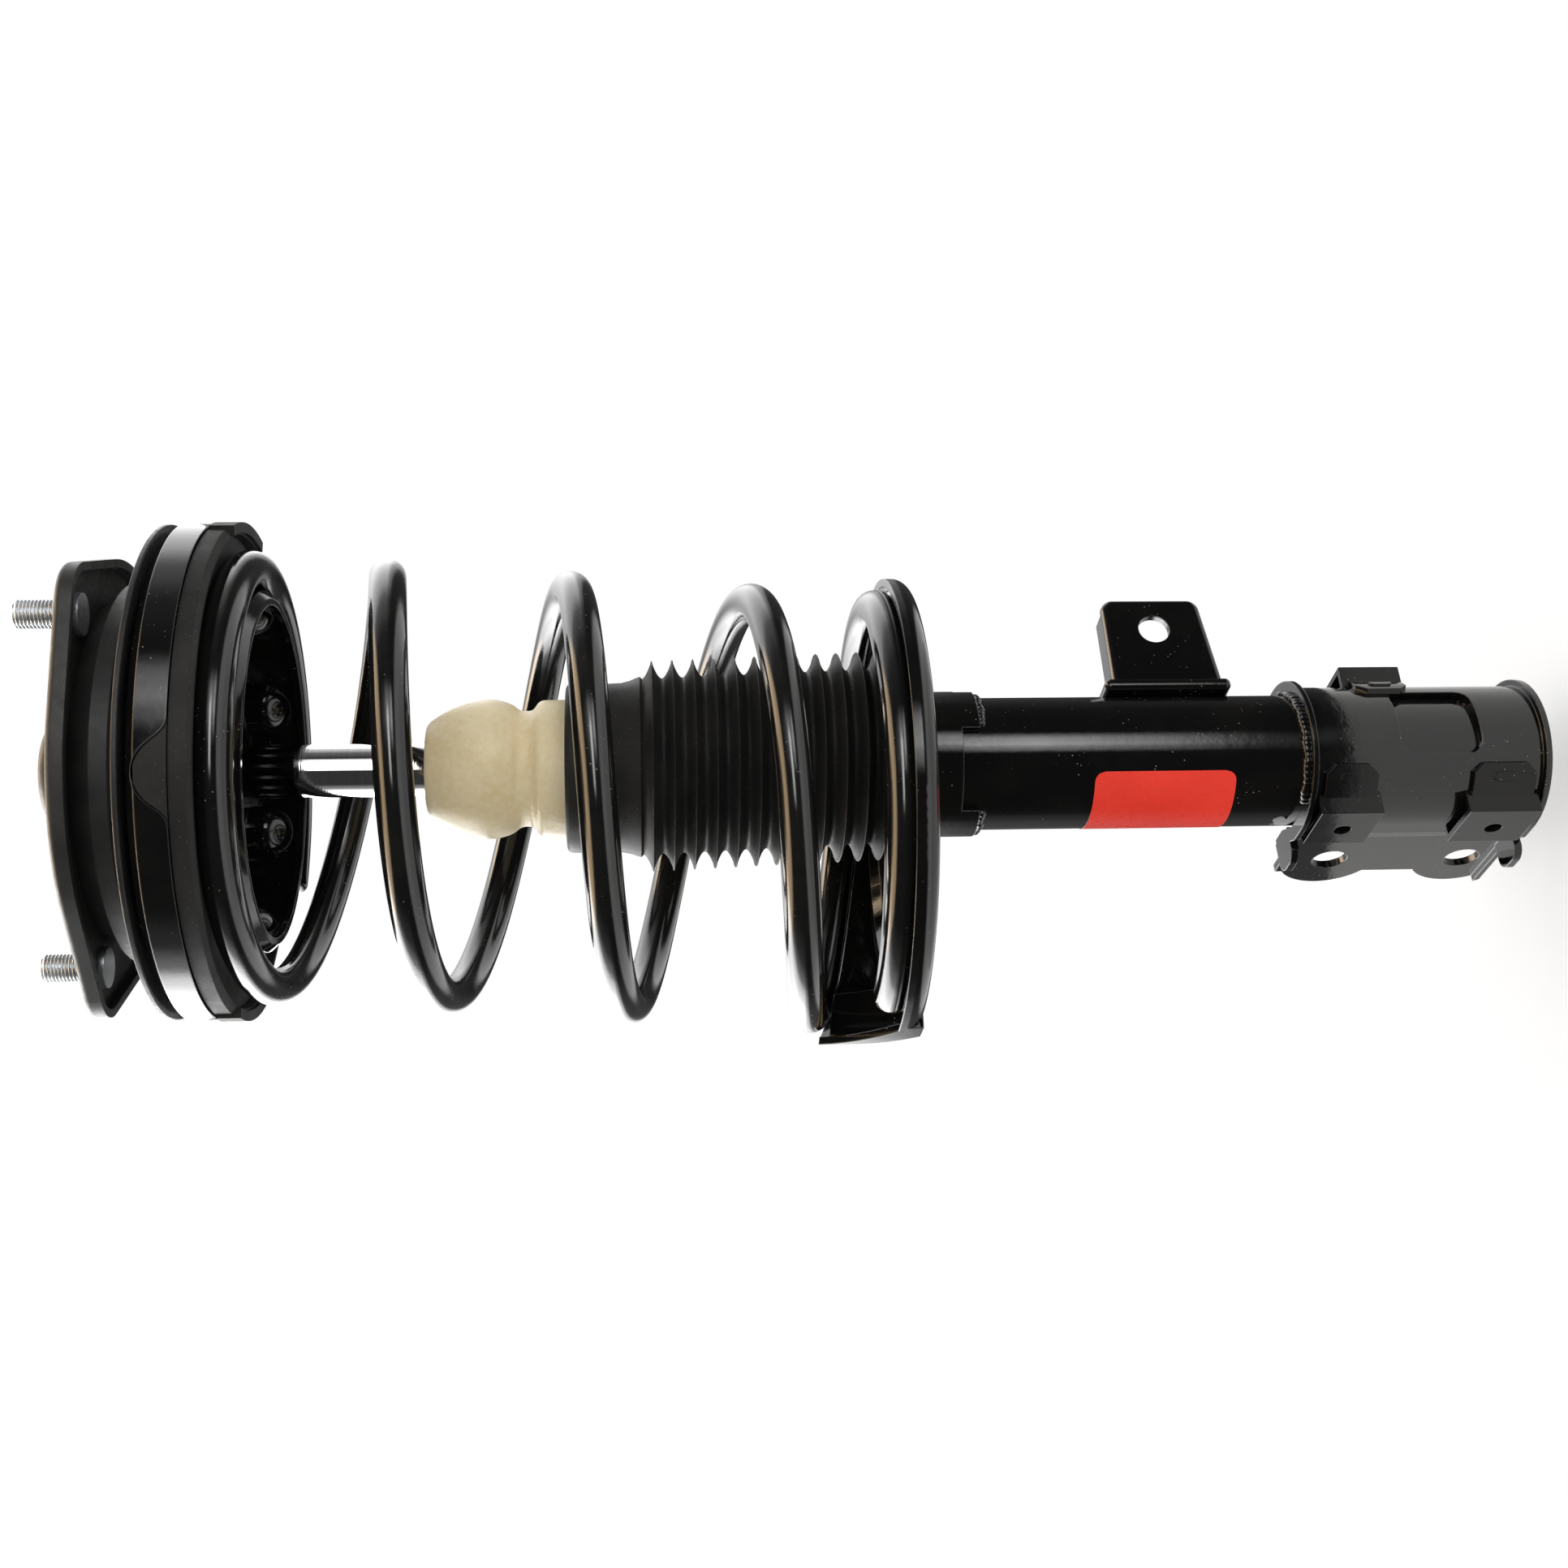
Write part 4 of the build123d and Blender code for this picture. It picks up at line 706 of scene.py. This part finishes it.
# ---- welds -----------------------------------------------------------------
COLLAR_TAB_BOTTOM = -323.0
COLLAR_TAB_DIRECTION = 205.0
COLLAR_TAB_HALF_WIDTH = 23
CLAMP_TOP = -447.7
BEAD_DROP = 2.3
BEAD_STEP = 0.25
BEAD_SIDES = 12


def weld_bead(start, end, circle, height, radius, seed):
    """Rings of a rippled bead round the tube: overlapping drops, each a little different."""
    length = math.radians(end - start) * circle
    count = int(length / BEAD_STEP)
    rings = []
    for step in range(count + 1):
        along = step / count * length
        phase = (along / BEAD_DROP) % 1.0
        number = math.floor(along / BEAD_DROP)
        uneven = 0.09 * math.sin(number * 2.4 + seed) + 0.05 * math.sin(number * 5.1 + seed * 2)
        swell = 0.80 + 0.28 * math.sqrt(max(1 - (2 * phase - 1) ** 2, 0.0)) + uneven
        short = max(1.0 - min(along, length - along) / radius, 0.0)
        taper = math.sqrt(max(1 - short ** 2, 0.02))
        angle = start + (end - start) * step / count
        centre = direction(angle, circle, height + 0.25 * math.sin(along * 0.7 + seed))
        outward = direction(angle)
        size = radius * swell * taper
        ring = []
        for side in range(BEAD_SIDES):
            a = 2 * math.pi * side / BEAD_SIDES
            rise = Vector((0, 0, math.sin(a) * size))
            ring.append((centre + outward * math.cos(a) * size * 0.8 + rise) * MM)
        rings.append(ring)
    return rings


def weld(name, arcs, replaced):
    """All the beads of one weld as one piece on the strut."""
    points, faces = [], []
    for number, arc in enumerate(arcs):
        more, sheets = skin_rings(weld_bead(*arc, seed=number * 1.7 + len(name)))
        faces += [tuple(len(points) + index for index in face) for face in sheets]
        points += more
    piece = piece_from(name, points, faces, "black_paint", 70.0)
    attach(piece, "strut")
    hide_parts(replaced)


def welds():
    """Beads under the collar's three tabs and along the clamp's upper edge."""
    tabs = []
    for step in range(3):
        middle = COLLAR_TAB_DIRECTION + 120 * step
        start, end = middle - COLLAR_TAB_HALF_WIDTH, middle + COLLAR_TAB_HALF_WIDTH
        tabs.append((start, end, 26.1, COLLAR_TAB_BOTTOM - 0.9, 1.7))
    weld("collar_beads", tabs, "perch_weld")
    weld("clamp_bead", [(111.0, 249.0, 26.0, CLAMP_TOP + 0.7, 1.6)], "knuckle_weld")


# ---- threads and label -----------------------------------------------------
STUD_CIRCLE = 73.5
STUD_FIRST_DIRECTION = 78.5
STUD_RADIUS = 5.0
STUD_TIP = 18.0
THREAD_PITCH = 1.25
THREAD_DEPTH = 0.62
THREAD_RUNOUT = 0.6
THREAD_SIDES = 40
THREAD_STEPS_PER_PITCH = 10
TIP_TAPER = 1.1
STUD_HEAD = (
    (6.9, -5.5), (7.4, -5.35), (7.5, -5.0), (7.5, -3.3), (7.3, -3.0),
    (STUD_RADIUS, -2.95), (STUD_RADIUS, 0.0),
)


def thread_radius(angle, height):
    """Radius of a rolled thread that fades out at the root and tapers at the tip."""
    turn = height / THREAD_PITCH - angle / (2 * math.pi)
    wave = abs((turn % 1.0) - 0.5) * 2
    groove = THREAD_DEPTH * min(max((wave - 0.12) / 0.76, 0.0), 1.0)
    fade = min(max((height - THREAD_RUNOUT) / THREAD_PITCH, 0.0), 1.0)
    taper = min(max((height - (STUD_TIP - TIP_TAPER)) / TIP_TAPER, 0.0), 1.0)
    return STUD_RADIUS - groove * fade - TIP_TAPER * taper


def threaded_studs():
    """The three plated studs with their threads above the plate and flat heads below it."""
    points, faces = [], []
    count = round(STUD_TIP / THREAD_PITCH * THREAD_STEPS_PER_PITCH)
    outline = [[place] * THREAD_SIDES for place in STUD_HEAD]
    for row in range(1, count + 1):
        height = STUD_TIP * row / count
        turns = [2 * math.pi * k / THREAD_SIDES for k in range(THREAD_SIDES)]
        outline.append([(thread_radius(turn, height), height) for turn in turns])
    for number in range(3):
        centre = direction(STUD_FIRST_DIRECTION + 120 * number, STUD_CIRCLE)
        rings = []
        for ring in outline:
            rings.append([(centre + direction(360.0 * k / THREAD_SIDES, radius, height)) * MM
                          for k, (radius, height) in enumerate(ring)])
        more, sheets = skin_rings(rings)
        faces += [tuple(len(points) + index for index in face) for face in sheets]
        points += more
    piece = piece_from("threaded_studs", points, faces, "zinc_steel", 40.0)
    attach(piece, "top_mount")
    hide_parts("mount_studs")


LABEL_RADIUS = 25.4
LABEL_GLUE = 0.02
LABEL_THICKNESS = 0.2
LABEL_TOP = -366.0
LABEL_BOTTOM = -420.0
LABEL_START = 44.5
LABEL_END = 142.5
LABEL_CORNER = 4.0


def tube_label():
    """Blank sticker with round corners, wrapped on the tube."""
    half_height = (LABEL_TOP - LABEL_BOTTOM) / 2
    middle = (LABEL_TOP + LABEL_BOTTOM) / 2
    sweep = math.radians(LABEL_END - LABEL_START)
    half_width = sweep * LABEL_RADIUS / 2
    columns, rows = 64, 10
    points, faces = [], []
    for thickness in (LABEL_GLUE, LABEL_THICKNESS):
        for column in range(columns + 1):
            along = (2 * column / columns - 1) * half_width
            past = max(abs(along) - (half_width - LABEL_CORNER), 0.0)
            reach = half_height - LABEL_CORNER + math.sqrt(max(LABEL_CORNER ** 2 - past ** 2, 0.0))
            angle = (LABEL_START + LABEL_END) / 2 + math.degrees(along / LABEL_RADIUS)
            for row in range(rows + 1):
                height = middle + (2 * row / rows - 1) * reach
                points.append(direction(angle, LABEL_RADIUS + thickness, height) * MM)
    layer = (columns + 1) * (rows + 1)
    for column in range(columns):
        for row in range(rows):
            a = column * (rows + 1) + row
            b = a + rows + 1
            faces.append((a, a + 1, b + 1, b))
            faces.append((layer + a, layer + b, layer + b + 1, layer + a + 1))
    rim = [column * (rows + 1) for column in range(columns + 1)]
    rim += [columns * (rows + 1) + row for row in range(1, rows + 1)]
    rim += [column * (rows + 1) + rows for column in reversed(range(columns))]
    rim += [row for row in reversed(range(1, rows))]
    for here, after in zip(rim, rim[1:] + rim[:1]):
        faces.append((here, after, layer + after, layer + here))
    piece = piece_from("blank_label", points, faces, "red_label", 40.0)
    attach(piece, "strut")
    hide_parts("tube_label")


# ---- floor -----------------------------------------------------------------
FLOOR_SIDES = 96
FLOOR_OUTLINE = ((0.29, -0.045), (0.29, -0.029), (0.286, -0.024))


def add_floor():
    """Pale round floor a little below the strut's foot."""
    rings = []
    for radius, depth in FLOOR_OUTLINE:
        height = CAD_BOX[0].z + depth
        rings.append([direction(360.0 * k / FLOOR_SIDES, radius, height) for k in range(FLOOR_SIDES)])
    points, faces = skin_rings(rings)
    mesh = bpy.data.meshes.new("floor")
    mesh.from_pydata([tuple(point) for point in points], [], faces)
    paper = Finish(
        "floor_finish",
        Specular_IOR_Level=0.1,
        Emission_Color=(1, 1, 1, 1),
        Emission_Strength=0.34,
    )
    shade = paper.levels(paper.noise(20.0, 3.0), 0.3, 0.7)
    paper.colour(paper.mix(shade, (0.93, 0.93, 0.93), (0.96, 0.96, 0.96)))
    paper.roughness(paper.levels(paper.noise(200.0, 2.0), 0.3, 0.7, 0.8, 0.95))
    mesh.materials.append(paper.material)
    floor = bpy.data.objects.new("floor", mesh)
    bpy.context.scene.collection.objects.link(floor)


add_camera()
add_studio_light()
add_floor()
finish_cad_nodes()
for coated in ("mount_plate", "mount_lower_shell"):
    frame["nodes"][coated].data.materials[0] = MOUNT_COAT
# The folded brackets take the half-shine copy of the black paint, a painted shade.
for folded in ("upper_hose_bracket", "lower_hose_bracket", "wire_clip"):
    frame["nodes"][folded].data.materials[0] = BRACKET_SHADED_PAINT
coil_spring()
jounce_bumper()
dust_boot()
welds()
threaded_studs()
tube_label()
